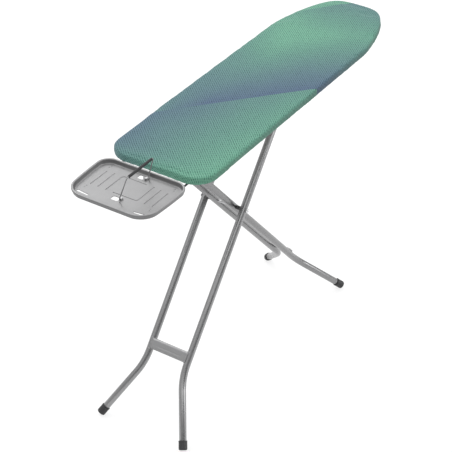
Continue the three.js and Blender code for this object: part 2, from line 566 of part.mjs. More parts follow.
// ------------------------------------------------------------- wire rest on the tray
{
	const [b0, b1] = HOOP_BAR_X, by = HOOP_BAR.x, bz = HOOP_BAR.y;
	const path = filletPath([
		V(HOOP_X[0] + 15, HOOP_Y, HOOP_Z), V(HOOP_X[0], HOOP_Y, HOOP_Z), V(b0, by, bz),
		V(b1, by, bz), V(HOOP_X[1], HOOP_Y, HOOP_Z), V(HOOP_X[1] - 15, HOOP_Y, HOOP_Z),
	], [4, 7, 7, 4], 5);
	piece('hoop_wire', sweep(path, HOOP_R, 10), MAT.steel());
	const sleeve = xRod(by, bz, b0 + 8, b1 - 8, 4, 18).subtract(xRod(by, bz, b0, b1, HOOP_R + GAP, 12));
	piece('hoop_sleeve', sleeve, MAT.sleeve());
	for (const [n, x0, x1] of [['hoop_clip_front', HOOP_X[0] + 5.5, HOOP_X[0] + 13.5], ['hoop_clip_rear', HOOP_X[1] - 13.5, HOOP_X[1] - 5.5]]) {
		const c = box(x0, x1, HOOP_Y - 3.8, HOOP_Y + 3.4, TRAY_FLOOR + GAP, HOOP_Z + 3.0);
		piece(n, c.subtract(xRod(HOOP_Y, HOOP_Z, x0 - 5, x1 + 5, HOOP_R + GAP, 14)), MAT.black());
	}
}

// ------------------------------------------------------------- place on the floor, centred
const object = new THREE.Group();
object.add(board);
board.updateMatrixWorld(true);
const bounds = new THREE.Box3().setFromObject(board, true);
board.position.set(-(bounds.min.x + bounds.max.x) / 2, -(bounds.min.y + bounds.max.y) / 2, -bounds.min.z);
object.updateMatrixWorld(true);

export default object;
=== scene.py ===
# Looks of a folding ironing board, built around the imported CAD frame.
# Row frame, metres, +Z up. Shapes are written in board millimetres (x = 0 at the square end,
# y = 0 on the centre line, z from the floor) and W() turns them into row-frame metres.
import math

import bmesh
import bpy
import numpy as np
from mathutils import Matrix, Vector


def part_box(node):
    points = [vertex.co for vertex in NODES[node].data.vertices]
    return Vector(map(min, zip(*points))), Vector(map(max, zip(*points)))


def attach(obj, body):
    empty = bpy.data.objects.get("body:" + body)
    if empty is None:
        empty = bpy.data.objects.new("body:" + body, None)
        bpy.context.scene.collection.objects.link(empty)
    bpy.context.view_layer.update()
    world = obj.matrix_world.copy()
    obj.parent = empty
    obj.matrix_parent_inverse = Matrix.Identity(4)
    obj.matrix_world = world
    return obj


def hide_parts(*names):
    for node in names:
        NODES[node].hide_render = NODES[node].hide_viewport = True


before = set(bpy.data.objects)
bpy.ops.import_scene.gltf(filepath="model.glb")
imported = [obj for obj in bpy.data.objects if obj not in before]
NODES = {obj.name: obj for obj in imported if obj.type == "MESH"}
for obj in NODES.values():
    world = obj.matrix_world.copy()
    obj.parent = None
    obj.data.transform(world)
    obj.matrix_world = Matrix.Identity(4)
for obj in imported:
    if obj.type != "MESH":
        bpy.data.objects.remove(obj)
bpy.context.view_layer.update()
scene = bpy.context.scene
_lo, _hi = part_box("cover")
OX, OZ = _lo.x * 1000.0, _hi.z * 1000.0 - 895.0


def W(p):
    return (np.asarray(p, float) + np.array([OX, 0.0, OZ])) / 1000.0


def unit(v):
    v = np.asarray(v, float)
    return v / np.linalg.norm(v)


# ------------------------------------------------------------------ material building
class Mat:
    """A Principled material with short calls for its nodes."""

    def __init__(self, name, **values):
        self.m = bpy.data.materials.new(name)
        self.m.use_nodes = True
        self.t = self.m.node_tree
        self.t.nodes.clear()
        out = self.t.nodes.new("ShaderNodeOutputMaterial")
        self.b = self.t.nodes.new("ShaderNodeBsdfPrincipled")
        self.t.links.new(self.b.outputs["BSDF"], out.inputs["Surface"])
        for k, v in values.items():
            self.b.inputs[k.replace("_", " ")].default_value = v
        self.P = self.new("ShaderNodeTexCoord").outputs["Object"]

    def new(self, kind, ins=None, **props):
        n = self.t.nodes.new(kind)
        for k, v in props.items():
            setattr(n, k, v)
        for k, v in (ins or {}).items():
            self.put(n.inputs[k], v)
        return n

    def put(self, socket, v):
        if isinstance(v, bpy.types.NodeSocket):
            self.t.links.new(v, socket)
        else:
            socket.default_value = v

    def math(self, op, a, b=0.0, c=0.0, clamp=False):
        n = self.new("ShaderNodeMath", {0: a, 1: b, 2: c}, operation=op, use_clamp=clamp)
        return n.outputs[0]

    def add(self, a, b): return self.math("ADD", a, b)
    def sub(self, a, b): return self.math("SUBTRACT", a, b)
    def mul(self, a, b): return self.math("MULTIPLY", a, b)

    def step(self, v, lo, hi, a=0.0, b=1.0):
        n = self.new("ShaderNodeMapRange", {"Value": v, "From Min": lo, "From Max": hi, "To Min": a, "To Max": b}, interpolation_type="SMOOTHSTEP")
        return n.outputs["Result"]

    def line(self, v, lo, hi, a=0.0, b=1.0):
        n = self.new("ShaderNodeMapRange", {"Value": v, "From Min": lo, "From Max": hi, "To Min": a, "To Max": b})
        return n.outputs["Result"]

    def xyz(self, v=None):
        return self.new("ShaderNodeSeparateXYZ", {0: v or self.P}).outputs

    def vec(self, x, y, z):
        return self.new("ShaderNodeCombineXYZ", {0: x, 1: y, 2: z}).outputs[0]

    def scaled(self, sx, sy, sz, v=None):
        return self.new("ShaderNodeVectorMath", {0: v or self.P, 1: (sx, sy, sz)}, operation="MULTIPLY").outputs[0]

    def noise(self, scale, detail=3.0, rough=0.5, v=None, distortion=0.0):
        n = self.new("ShaderNodeTexNoise", {"Vector": v or self.P, "Scale": scale, "Detail": detail, "Roughness": rough, "Distortion": distortion})
        return n.outputs[0]

    def voronoi(self, scale, v=None, feature="F1"):
        n = self.new("ShaderNodeTexVoronoi", {"Vector": v or self.P, "Scale": scale}, feature=feature)
        return n.outputs["Distance"]

    def ramp(self, fac, stops, interpolation="LINEAR"):
        n = self.new("ShaderNodeValToRGB", {0: fac})
        e = n.color_ramp.elements
        n.color_ramp.interpolation = interpolation
        while len(e) < len(stops):
            e.new(0.5)
        for el, (p, c) in zip(e, stops):
            el.position = p
            el.color = (*c[:3], 1.0)
        return n.outputs[0]

    def mix(self, fac, a, b, blend="MIX"):
        n = self.new("ShaderNodeMix", data_type="RGBA", blend_type=blend)
        for i, v in ((0, fac), (6, a), (7, b)):
            self.put(n.inputs[i], (*v, 1.0) if isinstance(v, (tuple, list)) and len(v) == 3 else v)
        return n.outputs[2]

    def bump(self, height, strength, distance, normal=None):
        ins = {"Strength": strength, "Distance": distance, "Height": height}
        if normal is not None:
            ins["Normal"] = normal
        return self.new("ShaderNodeBump", ins).outputs[0]

    def color(self, v): self.put(self.b.inputs["Base Color"], v)
    def rough(self, v): self.put(self.b.inputs["Roughness"], v)
    def metal(self, v): self.put(self.b.inputs["Metallic"], v)
    def normal(self, v): self.put(self.b.inputs["Normal"], v)


def lin(c):
    """sRGB 0..255 to linear."""
    out = []
    for v in c:
        v = v / 255.0
        out.append(v / 12.92 if v <= 0.04045 else ((v + 0.055) / 1.055) ** 2.4)
    return tuple(out)


def enamel(name, base, metallic, r0, r1, peel=0.12):
    m = Mat(name, Specular_IOR_Level=0.5)
    big = m.noise(3.1, 2.0, 0.5)
    fine = m.noise(420.0, 3.0, 0.6)
    grime = m.noise(38.0, 3.0, 0.5)
    tone = m.add(m.line(big, 0.3, 0.7, -0.03, 0.03), m.line(fine, 0.3, 0.7, -0.015, 0.015))
    k = m.add(1.0, tone)
    col = m.mix(1.0, tuple(base), m.new("ShaderNodeCombineColor", {0: k, 1: k, 2: k}).outputs[0], "MULTIPLY")
    spots = m.step(grime, 0.70, 0.82)
    col = m.mix(m.mul(spots, 0.12), col, tuple(b * 0.78 for b in base))
    m.color(col)
    m.metal(metallic)
    m.rough(m.add(m.line(grime, 0.25, 0.75, r0, r1), m.mul(spots, 0.05)))
    h = m.add(m.mul(m.noise(650.0, 2.0, 0.5), 0.6), m.mul(m.noise(180.0, 2.0, 0.5), 0.4))
    m.normal(m.bump(h, peel, 0.00004))
    return m.m


def plated(name, base, r0, r1, axis=(1.0, 40.0, 1.0), scale=60.0):
    m = Mat(name, Metallic=1.0, Specular_IOR_Level=0.5)
    streak = m.noise(scale, 3.0, 0.6, m.scaled(*axis))
    cloud = m.noise(55.0, 4.0, 0.6)
    bloom = m.voronoi(240.0)
    k = m.add(m.line(streak, 0.3, 0.7, 0.9, 1.05), m.line(bloom, 0.0, 0.9, -0.05, 0.05))
    col = m.mix(1.0, tuple(base), m.new("ShaderNodeCombineColor", {0: k, 1: k, 2: k}).outputs[0], "MULTIPLY")
    col = m.mix(m.mul(m.step(cloud, 0.58, 0.75), 0.3), col, (base[0] * 0.8, base[1] * 0.77, base[2] * 0.7))
    m.color(col)
    m.rough(m.line(cloud, 0.3, 0.75, r0, r1))
    m.normal(m.bump(m.add(streak, m.mul(bloom, 0.4)), 0.25, 0.00008))
    return m.m


def plastic(name, base, rough=0.45, grain=900.0, strength=0.35, spec=0.5, scuff=0.35, metallic=0.0, wall_shade=0.0):
    m = Mat(name, Specular_IOR_Level=spec, Metallic=metallic)
    cell = m.voronoi(grain)
    fine = m.noise(grain * 0.7, 3.0, 0.6)
    big = m.noise(22.0, 4.0, 0.6)
    rub = m.step(m.noise(90.0, 6.0, 0.7), 0.6, 0.74)
    k = m.add(m.line(big, 0.3, 0.7, 0.95, 1.05), m.line(fine, 0.3, 0.7, -0.03, 0.03))
    col = m.mix(1.0, tuple(base), m.new("ShaderNodeCombineColor", {0: k, 1: k, 2: k}).outputs[0], "MULTIPLY")
    col = m.mix(m.mul(rub, scuff * 0.3), col, tuple(min(1.0, b * 1.35 + 0.01) for b in base))
    if wall_shade:  # painted shade: upright walls darkened as if in shade, tone matched to the reference, not a known property of the plastic
        nz = m.xyz(m.new("ShaderNodeTexCoord").outputs["Normal"])[2]
        col = m.mix(m.mul(m.step(m.math("ABSOLUTE", nz), 0.3, 0.8, 1.0, 0.0), wall_shade), col, tuple(b * 0.3 for b in base))
    m.color(col)
    m.rough(m.add(m.line(big, 0.3, 0.7, rough - 0.05, rough + 0.07), m.mul(rub, 0.1 * scuff)))
    m.normal(m.bump(m.add(m.mul(cell, 0.7), m.mul(fine, 0.5)), strength, 0.00012))
    return m.m


# ------------------------------------------------------------------ the printed cover cloth
# two straight edges cross the print; the colour slides between slate, teal and green in between
L1A, L1B = np.array([219.5, 166.2]), np.array([609.6, -173.3])
L2A, L2B = np.array([1082.9, 65.6]), np.array([1134.3, 26.8])
CLOTH_GAIN = (0.500, 0.578, 0.575)


def cover_cloth(name, shade=1.0):
    m = Mat(name, Roughness=0.86, Specular_IOR_Level=0.3)
    m.b.inputs["Sheen Weight"].default_value = 0.12
    m.b.inputs["Sheen Roughness"].default_value = 0.5
    x, y, z = m.xyz()
    X = m.math("MULTIPLY_ADD", x, 1000.0, -OX)
    Y = m.mul(y, 1000.0)
    d1v = unit(L1B - L1A)
    n1v = np.array([-d1v[1], d1v[0]])
    d2v = unit(L2B - L2A)
    n2v = np.array([-d2v[1], d2v[0]])

    def dot(v, o):
        return m.add(m.mul(m.sub(X, float(o[0])), float(v[0])), m.mul(m.sub(Y, float(o[1])), float(v[1])))

    d1, t1, d2 = dot(n1v, L1A), dot(d1v, L1A), dot(n2v, L2A)
    ga = m.add(m.math("MULTIPLY_ADD", t1, 0.078, 132.0 - 0.136 * 40), m.mul(d1, -0.136))
    yy = m.math("MAXIMUM", m.sub(Y, 60.0), 0.0)
    decay = m.math("EXPONENT", m.mul(d1, -1.0 / 90.0))
    gb = m.math("MULTIPLY_ADD", d1, 0.215, 122.0 - 4.3)
    gb = m.sub(gb, m.mul(m.mul(d1, yy), 0.00085))
    gb = m.add(gb, m.mul(m.mul(yy, decay), 0.3))
    xs = m.add(X, m.mul(Y, 0.1))
    gn = m.math("MULTIPLY_ADD", m.sub(xs, 935.0), -0.15, 177.0)
    gb = m.math("SMOOTH_MIN", gb, gn, 12.0)
    soft = m.noise(9.0, 2.0, 0.5)
    g = m.math("MULTIPLY_ADD", m.step(d1, -0.7, 0.7), m.sub(gb, ga), ga)
    g = m.math("MULTIPLY_ADD", m.step(d2, -0.7, 0.7), m.sub(179.0, g), g)
    g = m.add(g, m.add(m.line(soft, 0.25, 0.75, -3.0, 3.0), m.step(X, -12.0, 55.0, 9.0, 0.0)))
    stops = [(118, (97, 116, 146)), (124, (102, 124, 147)), (132, (105, 131, 147)), (145, (111, 145, 148)),
             (155, (114, 155, 149)), (167, (118, 167, 151)), (182, (128, 184, 158))]
    col = m.ramp(m.line(g, 115.0, 185.0), [((a - 115) / 70.0, tuple(v * k * shade for v, k in zip(lin(c), CLOTH_GAIN))) for a, c in stops])
    # short staggered dashes of darker ink; down the sides the print is carried on as on the flat cloth
    nx, ny, _ = m.xyz(m.new("ShaderNodeTexCoord").outputs["Normal"])
    drop = m.math("MINIMUM", m.math("MAXIMUM", m.math("MULTIPLY_ADD", z, -1000.0, 895.0 + OZ), 0.0), 20.0)
    U, V = m.math("MULTIPLY_ADD", nx, drop, X), m.math("MULTIPLY_ADD", ny, drop, Y)
    s = m.add(m.mul(U, 0.682), m.mul(V, 0.731))
    r = m.sub(m.mul(U, 0.731), m.mul(V, 0.682))
    # the knit never repeats exactly
    r = m.add(r, m.line(m.noise(55.0, 2.0, 0.5), 0.3, 0.7, -0.9, 0.9))
    s = m.add(s, m.line(m.noise(120.0, 2.0, 0.5, m.scaled(1.0, 1.0, 0.6)), 0.3, 0.7, -1.6, 1.6))
    rc = m.mul(r, 1.0 / 6.2)
    cold = m.math("FLOOR", rc)
    fr = m.math("ABSOLUTE", m.sub(m.math("FRACT", rc), 0.5))
    s2 = m.add(m.mul(s, 1.0 / 10.75), m.mul(cold, 0.077))
    fs = m.math("ABSOLUTE", m.sub(m.math("FRACT", s2), 0.5))
    rnd = m.new("ShaderNodeTexWhiteNoise", {0: m.vec(cold, m.math("FLOOR", s2), 0.0)}, noise_dimensions="3D").outputs["Value"]
    dash = m.mul(m.step(fr, 0.16, 0.26, 1.0, 0.0), m.step(fs, 0.30, 0.44, 1.0, 0.0))
    patchy = m.line(m.noise(95.0, 2.0, 0.5), 0.3, 0.7, 0.72, 1.0)
    dash = m.mul(m.mul(dash, m.line(rnd, 0.0, 1.0, 0.5, 1.0)), patchy)
    lift = m.mul(m.step(fr, 0.28, 0.44), m.mul(m.line(rnd, 0.0, 1.0, 0.5, 1.0), m.line(m.noise(210.0, 2.0, 0.5), 0.35, 0.65, 0.35, 1.15)))
    col = m.mix(lift, col, m.mix(1.0, col, (1.52, 1.36, 1.34), "MULTIPLY"))
    col = m.mix(dash, col, m.mix(1.0, col, (0.11, 0.29, 0.27), "MULTIPLY"))
    # skirt tone per side, painted light and shade: darker on the -y side and lighter on the -x side, matched to the
    # reference, not a known property of the cloth
    low = m.step(drop, 2.0, 9.0)
    side = m.add(m.mul(m.math("MAXIMUM", m.mul(ny, -1.0), 0.0), -0.24), m.mul(m.math("MAXIMUM", m.mul(nx, -1.0), 0.0), 0.24))
    tone = m.math("MULTIPLY_ADD", low, side, 1.0)
    col = m.mix(1.0, col, m.new("ShaderNodeCombineColor", {0: tone, 1: tone, 2: tone}).outputs[0], "MULTIPLY")
    # threads: over-and-under weave about 0.6 mm across
    tx = m.math("SINE", m.mul(X, 2 * math.pi / 0.62))
    ty = m.math("SINE", m.mul(Y, 2 * math.pi / 0.62))
    weave = m.mul(tx, ty)
    slub = m.noise(260.0, 3.0, 0.6, m.scaled(0.25, 1.0, 1.0))
    kv = m.add(m.line(weave, -1.0, 1.0, 0.965, 1.03), m.line(slub, 0.3, 0.7, -0.03, 0.03))
    col = m.mix(1.0, col, m.new("ShaderNodeCombineColor", {0: kv, 1: kv, 2: kv}).outputs[0], "MULTIPLY")
    m.color(col)
    m.rough(m.line(slub, 0.3, 0.7, 0.8, 0.93))
    h = m.add(m.mul(weave, 0.35), m.add(m.mul(slub, 0.5), m.mul(m.noise(70.0, 3.0, 0.5), 0.5)))
    m.normal(m.bump(h, 0.35, 0.0002))
    return m.m


def felt(name):
    m = Mat(name, Roughness=0.97, Specular_IOR_Level=0.2)
    m.b.inputs["Sheen Weight"].default_value = 0.25
    f = m.noise(500.0, 6.0, 0.75, m.scaled(1.0, 0.35, 1.0))
    c = m.noise(35.0, 4.0, 0.6)
    m.color(m.mix(m.line(m.add(m.mul(f, 0.6), m.mul(c, 0.4)), 0.35, 0.65), (0.52, 0.51, 0.47), (0.72, 0.71, 0.67)))
    m.rough(m.line(f, 0.3, 0.7, 0.92, 1.0))
    m.normal(m.bump(f, 0.6, 0.0006))
    return m.m


GREY = enamel("grey_enamel", (0.31, 0.31, 0.314), 0.9, 0.24, 0.32)
# T frame: a darker copy of the grey enamel, painted shade to tone down the bright floor it reflects
GREY_T_SHADED = enamel("grey_enamel_front_shaded", (0.265, 0.265, 0.268), 0.9, 0.24, 0.32)
GREY_FLAT = enamel("grey_enamel_plate", (0.30, 0.30, 0.304), 0.7, 0.42, 0.5)
MESH_PAINT = enamel("expanded_metal_paint", (0.50, 0.50, 0.50), 0.2, 0.45, 0.6, 0.2)
ZINC = plated("zinc_plate", (0.56, 0.56, 0.57), 0.3, 0.45)
NUT = plated("bright_plate", (0.80, 0.80, 0.81), 0.12, 0.22)
SPRING = plated("spring_wire", (0.42, 0.42, 0.43), 0.25, 0.4, (1, 1, 1), 300.0)
WIRE = enamel("dark_wire", (0.085, 0.085, 0.09), 0.7, 0.28, 0.4, 0.2)
REST_WIRE = enamel("rest_wire_coat", (0.27, 0.27, 0.275), 0.45, 0.35, 0.5, 0.2)
# tray plastic, with painted shade on its upright walls
TRAY = plastic("tray_plastic", (0.225, 0.225, 0.228), 0.36, 1100.0, 0.12, 0.5, 0.3, 0.35, wall_shade=0.28)
BLACK = plastic("black_plastic", (0.028, 0.028, 0.030), 0.5, 1000.0, 0.5, 0.45)
CLIP = plastic("clip_plastic", (0.20, 0.20, 0.205), 0.5, 1000.0, 0.4, 0.45)
LUG = plastic("hoop_lug_plastic", (0.42, 0.42, 0.425), 0.45, 1000.0, 0.2, 0.5, 0.3, 0.3)
SLEEVE = plastic("sleeve_rubber", (0.022, 0.022, 0.024), 0.62, 700.0, 0.6, 0.35)
CLOTH = cover_cloth("cover_cloth")
FELT = felt("pad_felt")


# ------------------------------------------------------------------ mesh building
def shade(o, angle):
    me = o.data
    me.polygons.foreach_set("use_smooth", np.ones(len(me.polygons), bool))
    me.set_sharp_from_angle(angle=math.radians(angle))
    me.update()


def make(name, verts, faces, mat, body, replaces=(), slot=None, angle=34.0, merge=2e-6):
    me = bpy.data.meshes.new(name)
    me.from_pydata(W(verts).tolist(), [], [tuple(int(i) for i in f) for f in faces])
    bm = bmesh.new()
    bm.from_mesh(me)
    bmesh.ops.remove_doubles(bm, verts=bm.verts, dist=merge)
    bmesh.ops.dissolve_degenerate(bm, edges=bm.edges, dist=1e-7)
    bmesh.ops.recalc_face_normals(bm, faces=bm.faces)
    bm.to_mesh(me)
    bm.free()
    o = bpy.data.objects.new(name, me)
    scene.collection.objects.link(o)
    me.materials.append(mat)
    shade(o, angle)
    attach(o, body)
    if replaces:
        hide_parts(*([replaces] if isinstance(replaces, str) else replaces))
    return o


class Shell:
    """Vertices and faces gathered ring by ring."""

    def __init__(self):
        self.v, self.f = [], []

    def ring(self, pts):
        i = len(self.v)
        self.v.extend(np.asarray(pts, float).tolist())
        return list(range(i, i + len(pts)))

    def bridge(self, a, b, closed=True):
        n = len(a)
        for i in range(n if closed else n - 1):
            j = (i + 1) % n
            self.f.append((a[i], a[j], b[j], b[i]))

    def cap(self, a):
        self.f.append(tuple(a))

    def fan(self, a, centre):
        c = self.ring([centre])[0]
        for i in range(len(a)):
            self.f.append((a[i], a[(i + 1) % len(a)], c))

    def merge(self, other):
        k = len(self.v)
        self.v.extend(other.v)
        self.f.extend(tuple(i + k for i in f) for f in other.f)
        return self


def fillet_path(points, radii, steps=18):
    """Stations (point, tangent) along straight runs joined by arcs."""
    P = [np.asarray(p, float) for p in points]
    st = [(P[0], unit(P[1] - P[0]))]
    for i in range(1, len(P) - 1):
        d0, d1 = unit(P[i] - P[i - 1]), unit(P[i + 1] - P[i])
        ang = math.acos(max(-1, min(1, float(d0 @ d1))))
        r = radii[i - 1]
        cut = r * math.tan(ang / 2)
        start = P[i] - d0 * cut
        inward = unit(d1 - d0)
        c = P[i] + inward * (r / math.cos(ang / 2))
        radial = unit(start - c)
        for k in range(steps + 1):
            a = ang * k / steps
            st.append((c + radial * r * math.cos(a) + d0 * r * math.sin(a), unit(d0 * math.cos(a) - radial * math.sin(a))))
    st.append((P[-1], unit(P[-1] - P[-2])))
    return st


def transport(tangents, ref=None):
    t0 = tangents[0]
    if ref is None:
        ref = np.eye(3)[int(np.argmin(np.abs(t0)))]
    u = unit(ref - (ref @ t0) * t0)
    us = [u]
    for t in tangents[1:]:
        u = unit(u - (u @ t) * t)
        us.append(u)
    return us


def tube(stations, r, sides=40, bore=None, chamfer=0.5, shell=None, closed=False):
    """Round bar along stations; with bore it is a pipe with open ends."""
    s = shell or Shell()
    tans = [t for _, t in stations]
    us = transport(tans)
    ang = np.arange(sides) / sides * 2 * math.pi

    def circle(p, t, u, rr):
        v = np.cross(t, u)
        return p + rr * (np.cos(ang)[:, None] * u + np.sin(ang)[:, None] * v)

    (p0, t0), (p1, t1) = stations[0], stations[-1]
    outer = []
    if closed:
        outer = [circle(p, t, u, r) for (p, t), u in zip(stations, us)]
        rings = [s.ring(c) for c in outer]
        for a, b in zip(rings, rings[1:] + rings[:1]):
            s.bridge(a, b)
        return s
    c = chamfer
    outer.append(circle(p0, t0, us[0], r - c))
    outer.append(circle(p0 + t0 * c * 0.3, t0, us[0], r - c * 0.3))
    outer.append(circle(p0 + t0 * c, t0, us[0], r))
    for (p, t), u in zip(stations[1:-1], us[1:-1]):
        outer.append(circle(p, t, u, r))
    outer.append(circle(p1 - t1 * c, t1, us[-1], r))
    outer.append(circle(p1 - t1 * c * 0.3, t1, us[-1], r - c * 0.3))
    outer.append(circle(p1, t1, us[-1], r - c))
    rings = [s.ring(x) for x in outer]
    for a, b in zip(rings, rings[1:]):
        s.bridge(a, b)
    if bore:
        inner = [circle(p, t, u, bore) for (p, t), u in zip(stations, us)]
        ir = [s.ring(x) for x in inner]
        for a, b in zip(ir, ir[1:]):
            s.bridge(a, b)
        s.bridge(rings[0], ir[0])
        s.bridge(rings[-1], ir[-1])
    else:
        s.cap(rings[0])
        s.cap(rings[-1])
    return s


def fillet2(pts, rad, steps=5):
    """Rounds the inner corners of an open 2-D profile."""
    P = [np.asarray(p, float) for p in pts]
    rad = rad if hasattr(rad, "__len__") else [rad] * (len(P) - 2)
    out = [P[0]]
    for i in range(1, len(P) - 1):
        d0, d1 = unit(P[i] - P[i - 1]), unit(P[i + 1] - P[i])
        ang = math.acos(max(-1, min(1, float(d0 @ d1))))
        r = rad[i - 1]
        if r <= 0 or ang < 0.05 or ang > 3.1:
            out.append(P[i])
            continue
        cut = min(r * math.tan(ang / 2), 0.48 * np.linalg.norm(P[i] - P[i - 1]), 0.48 * np.linalg.norm(P[i + 1] - P[i]))
        r = cut / math.tan(ang / 2)
        start = P[i] - d0 * cut
        c = P[i] + unit(d1 - d0) * (r / math.cos(ang / 2))
        radial = unit(start - c)
        for k in range(steps + 1):
            a = ang * k / steps
            out.append(c + radial * r * math.cos(a) + d0 * r * math.sin(a))
    out.append(P[-1])
    return out


def lathe(profile, origin, axis, sides=56, shell=None, closed=False, mod=None):
    """Turned shape; profile is (radius, height) along the axis."""
    s = shell or Shell()
    axis = unit(axis)
    u = transport([axis])[0]
    v = np.cross(axis, u)
    ang = np.arange(sides) / sides * 2 * math.pi
    rings = []
    for r, h in profile:
        rr = np.full(sides, float(max(r, 0.0)))
        if mod is not None:
            rr = mod(rr, h, ang)
        rings.append(s.ring(np.asarray(origin) + axis * h + rr[:, None] * (np.cos(ang)[:, None] * u + np.sin(ang)[:, None] * v)))
    pairs = list(zip(rings, rings[1:])) + ([(rings[-1], rings[0])] if closed else [])
    for a, b in pairs:
        s.bridge(a, b)
    return s


def rod_y(x, z, y0, y1, r, chamfer=0.6, sides=40):
    return tube([(np.array([x, y0, z]), np.array([0, 1.0, 0])), (np.array([x, y1, z]), np.array([0, 1.0, 0]))], r, sides, chamfer=chamfer)


def dress(node, mat, bevel=0.35, angle=30.0):
    """A CAD node kept as it is, with edges broken by a bevel and a worked material."""
    o = NODES[node]
    o.data.materials.clear()
    o.data.materials.append(mat)
    me = o.data
    w = o.modifiers.new("weld", "WELD")
    w.merge_threshold = 1e-6
    if bevel:
        d = o.modifiers.new("flat", "DECIMATE")
        d.decimate_type = "DISSOLVE"
        d.angle_limit = math.radians(1.0)
        b = o.modifiers.new("edges", "BEVEL")
        b.width = bevel / 1000.0
        b.segments = 2
        b.limit_method = "ANGLE"
        b.angle_limit = math.radians(35.0)
        b.harden_normals = False
    me.polygons.foreach_set("use_smooth", np.ones(len(me.polygons), bool))
    g = o.modifiers.new("split", "EDGE_SPLIT")
    g.split_angle = math.radians(angle)
    g.use_edge_sharp = False
    return o


# ------------------------------------------------------------------ camera, light, floor
CAM = np.array([-2784.611, -2053.193, 3110.698])
RIGHT = (0.5458427840742504, -0.8378863146282864, -0.0014760869552418957)
UP = (0.48102226429760814, 0.3119195350470733, 0.8193435084908037)
BACK = (-0.6860562923872016, -0.4479427724772951, 0.5733009997037166)
cam_data = bpy.data.cameras.new("camera")
cam = bpy.data.objects.new("camera", cam_data)
scene.collection.objects.link(cam)
cw = W(CAM)
cam.matrix_world = Matrix([
    [RIGHT[0], UP[0], BACK[0], cw[0]],
    [RIGHT[1], UP[1], BACK[1], cw[1]],
    [RIGHT[2], UP[2], BACK[2], cw[2]],
    [0, 0, 0, 1]])
cam_data.sensor_width = 36.0
cam_data.lens = 1517.681 * 36.0 / 452.0
cam_data.clip_start, cam_data.clip_end = 0.1, 100.0
scene.camera = cam

me = bpy.data.meshes.new("floor")
me.from_pydata([(-14, -14, 0), (14, -14, 0), (14, 14, 0), (-14, 14, 0)], [], [(0, 1, 2, 3)])
floor = bpy.data.objects.new("floor", me)
scene.collection.objects.link(floor)
fm = Mat("floor_pale", Roughness=0.9, Specular_IOR_Level=0.1)
fm.color(fm.mix(fm.line(fm.noise(3.0, 2.0), 0.3, 0.7), (0.22, 0.22, 0.221), (0.24, 0.24, 0.241)))
fm.b.inputs["Emission Color"].default_value = (1, 1, 1, 1)
fm.b.inputs["Emission Strength"].default_value = 0.76
fm.m.cycles.emission_sampling = "NONE"
me.materials.append(fm.m)

# Studio sky: a bright ceiling, a broad soft panel to the left, a narrow one to the right, a quieter band between.
world = bpy.data.worlds.new("studio")
scene.world = world
world.use_nodes = True
wt = world.node_tree
bg = wt.nodes["Background"]
direction = wt.nodes.new("ShaderNodeTexCoord").outputs["Generated"]


def sky_part(vector, lo, hi, amount):
    d = wt.nodes.new("ShaderNodeVectorMath")
    d.operation = "DOT_PRODUCT"
    wt.links.new(direction, d.inputs[0])
    d.inputs[1].default_value = vector
    r = wt.nodes.new("ShaderNodeMapRange")
    r.interpolation_type = "SMOOTHSTEP"
    wt.links.new(d.outputs["Value"], r.inputs["Value"])
    r.inputs["From Min"].default_value, r.inputs["From Max"].default_value = lo, hi
    r.inputs["To Min"].default_value, r.inputs["To Max"].default_value = 0.0, amount
    return r.outputs["Result"]


def toward(az, el):
    az, el = math.radians(az), math.radians(el)
    return (math.cos(el) * math.cos(az), math.cos(el) * math.sin(az), math.sin(el))


SKY = [((0, 0, 1), 0.36, 0.82, 0.86), (toward(35, 40), 0.62, 0.95, 0.95), (toward(125, 25), 0.5, 0.92, 0.45), (toward(-60, 26), 0.90, 0.97, 3.2), (toward(-150, 58), 0.93, 0.985, 1.2), ((0, 0, -1), -0.16, 0.0, 0.25)]
total = None
for spec in SKY:
    part = sky_part(*spec)
    n = wt.nodes.new("ShaderNodeMath")
    n.operation = "ADD"
    wt.links.new(part, n.inputs[0])
    if total is None:
        n.inputs[1].default_value = 0.24
    else:
        wt.links.new(total, n.inputs[1])
    total = n.outputs[0]
wt.links.new(total, bg.inputs["Strength"])
bg.inputs["Color"].default_value = (0.95, 0.95, 0.95, 1.0)
scene.view_settings.view_transform = "Standard"
scene.view_settings.look = "None"


def softbox(name, place, aim, size, energy, size_y=None):
    d = bpy.data.lights.new(name, "AREA")
    d.shape = "RECTANGLE"
    d.size, d.size_y = size, size_y or size
    d.energy = energy
    o = bpy.data.objects.new(name, d)
    scene.collection.objects.link(o)
    o.location = place
    o.rotation_mode = "QUATERNION"
    o.rotation_quaternion = (Vector(aim) - Vector(place)).to_track_quat("-Z", "Y")
    return o


softbox("key", (0.9, 2.5, 3.8), (0, 0, 0.5), 2.4, 60.0)


# ------------------------------------------------------------------ board outline
HALF, CORNER = 164.5, 68.0
NOSE = [(860, 164.5), (890, 164.2), (925, 159.6), (970, 150.2), (1020, 137.3), (1060, 123.6), (1090, 109.6), (1112, 96.2),
        (1128, 81.0), (1138.5, 63.5), (1144, 43), (1146, 20), (1146.3, 0)]


def catmull(points, per=24):
    P = np.array(points, float)
    P = np.vstack([P[0], P, [P[-1][0], -20.0]])
    out = []
    for i in range(1, len(P) - 2):
        a, b, c, d = P[i - 1], P[i], P[i + 1], P[i + 2]
        for k in range(per):
            t = k / per
            out.append(0.5 * ((2 * b) + (c - a) * t + (2 * a - 5 * b + 4 * c - d) * t * t + (3 * b - a - 3 * c + d) * t ** 3))
    out.append(P[-2])
    return np.array(out)


def resample(line, step):
    d = np.concatenate([[0], np.cumsum(np.linalg.norm(np.diff(line, axis=0), axis=1))])
    n = max(2, int(round(d[-1] / step)) + 1)
    at = np.linspace(0, d[-1], n)
    return np.stack([np.interp(at, d, line[:, k]) for k in range(line.shape[1])], 1)


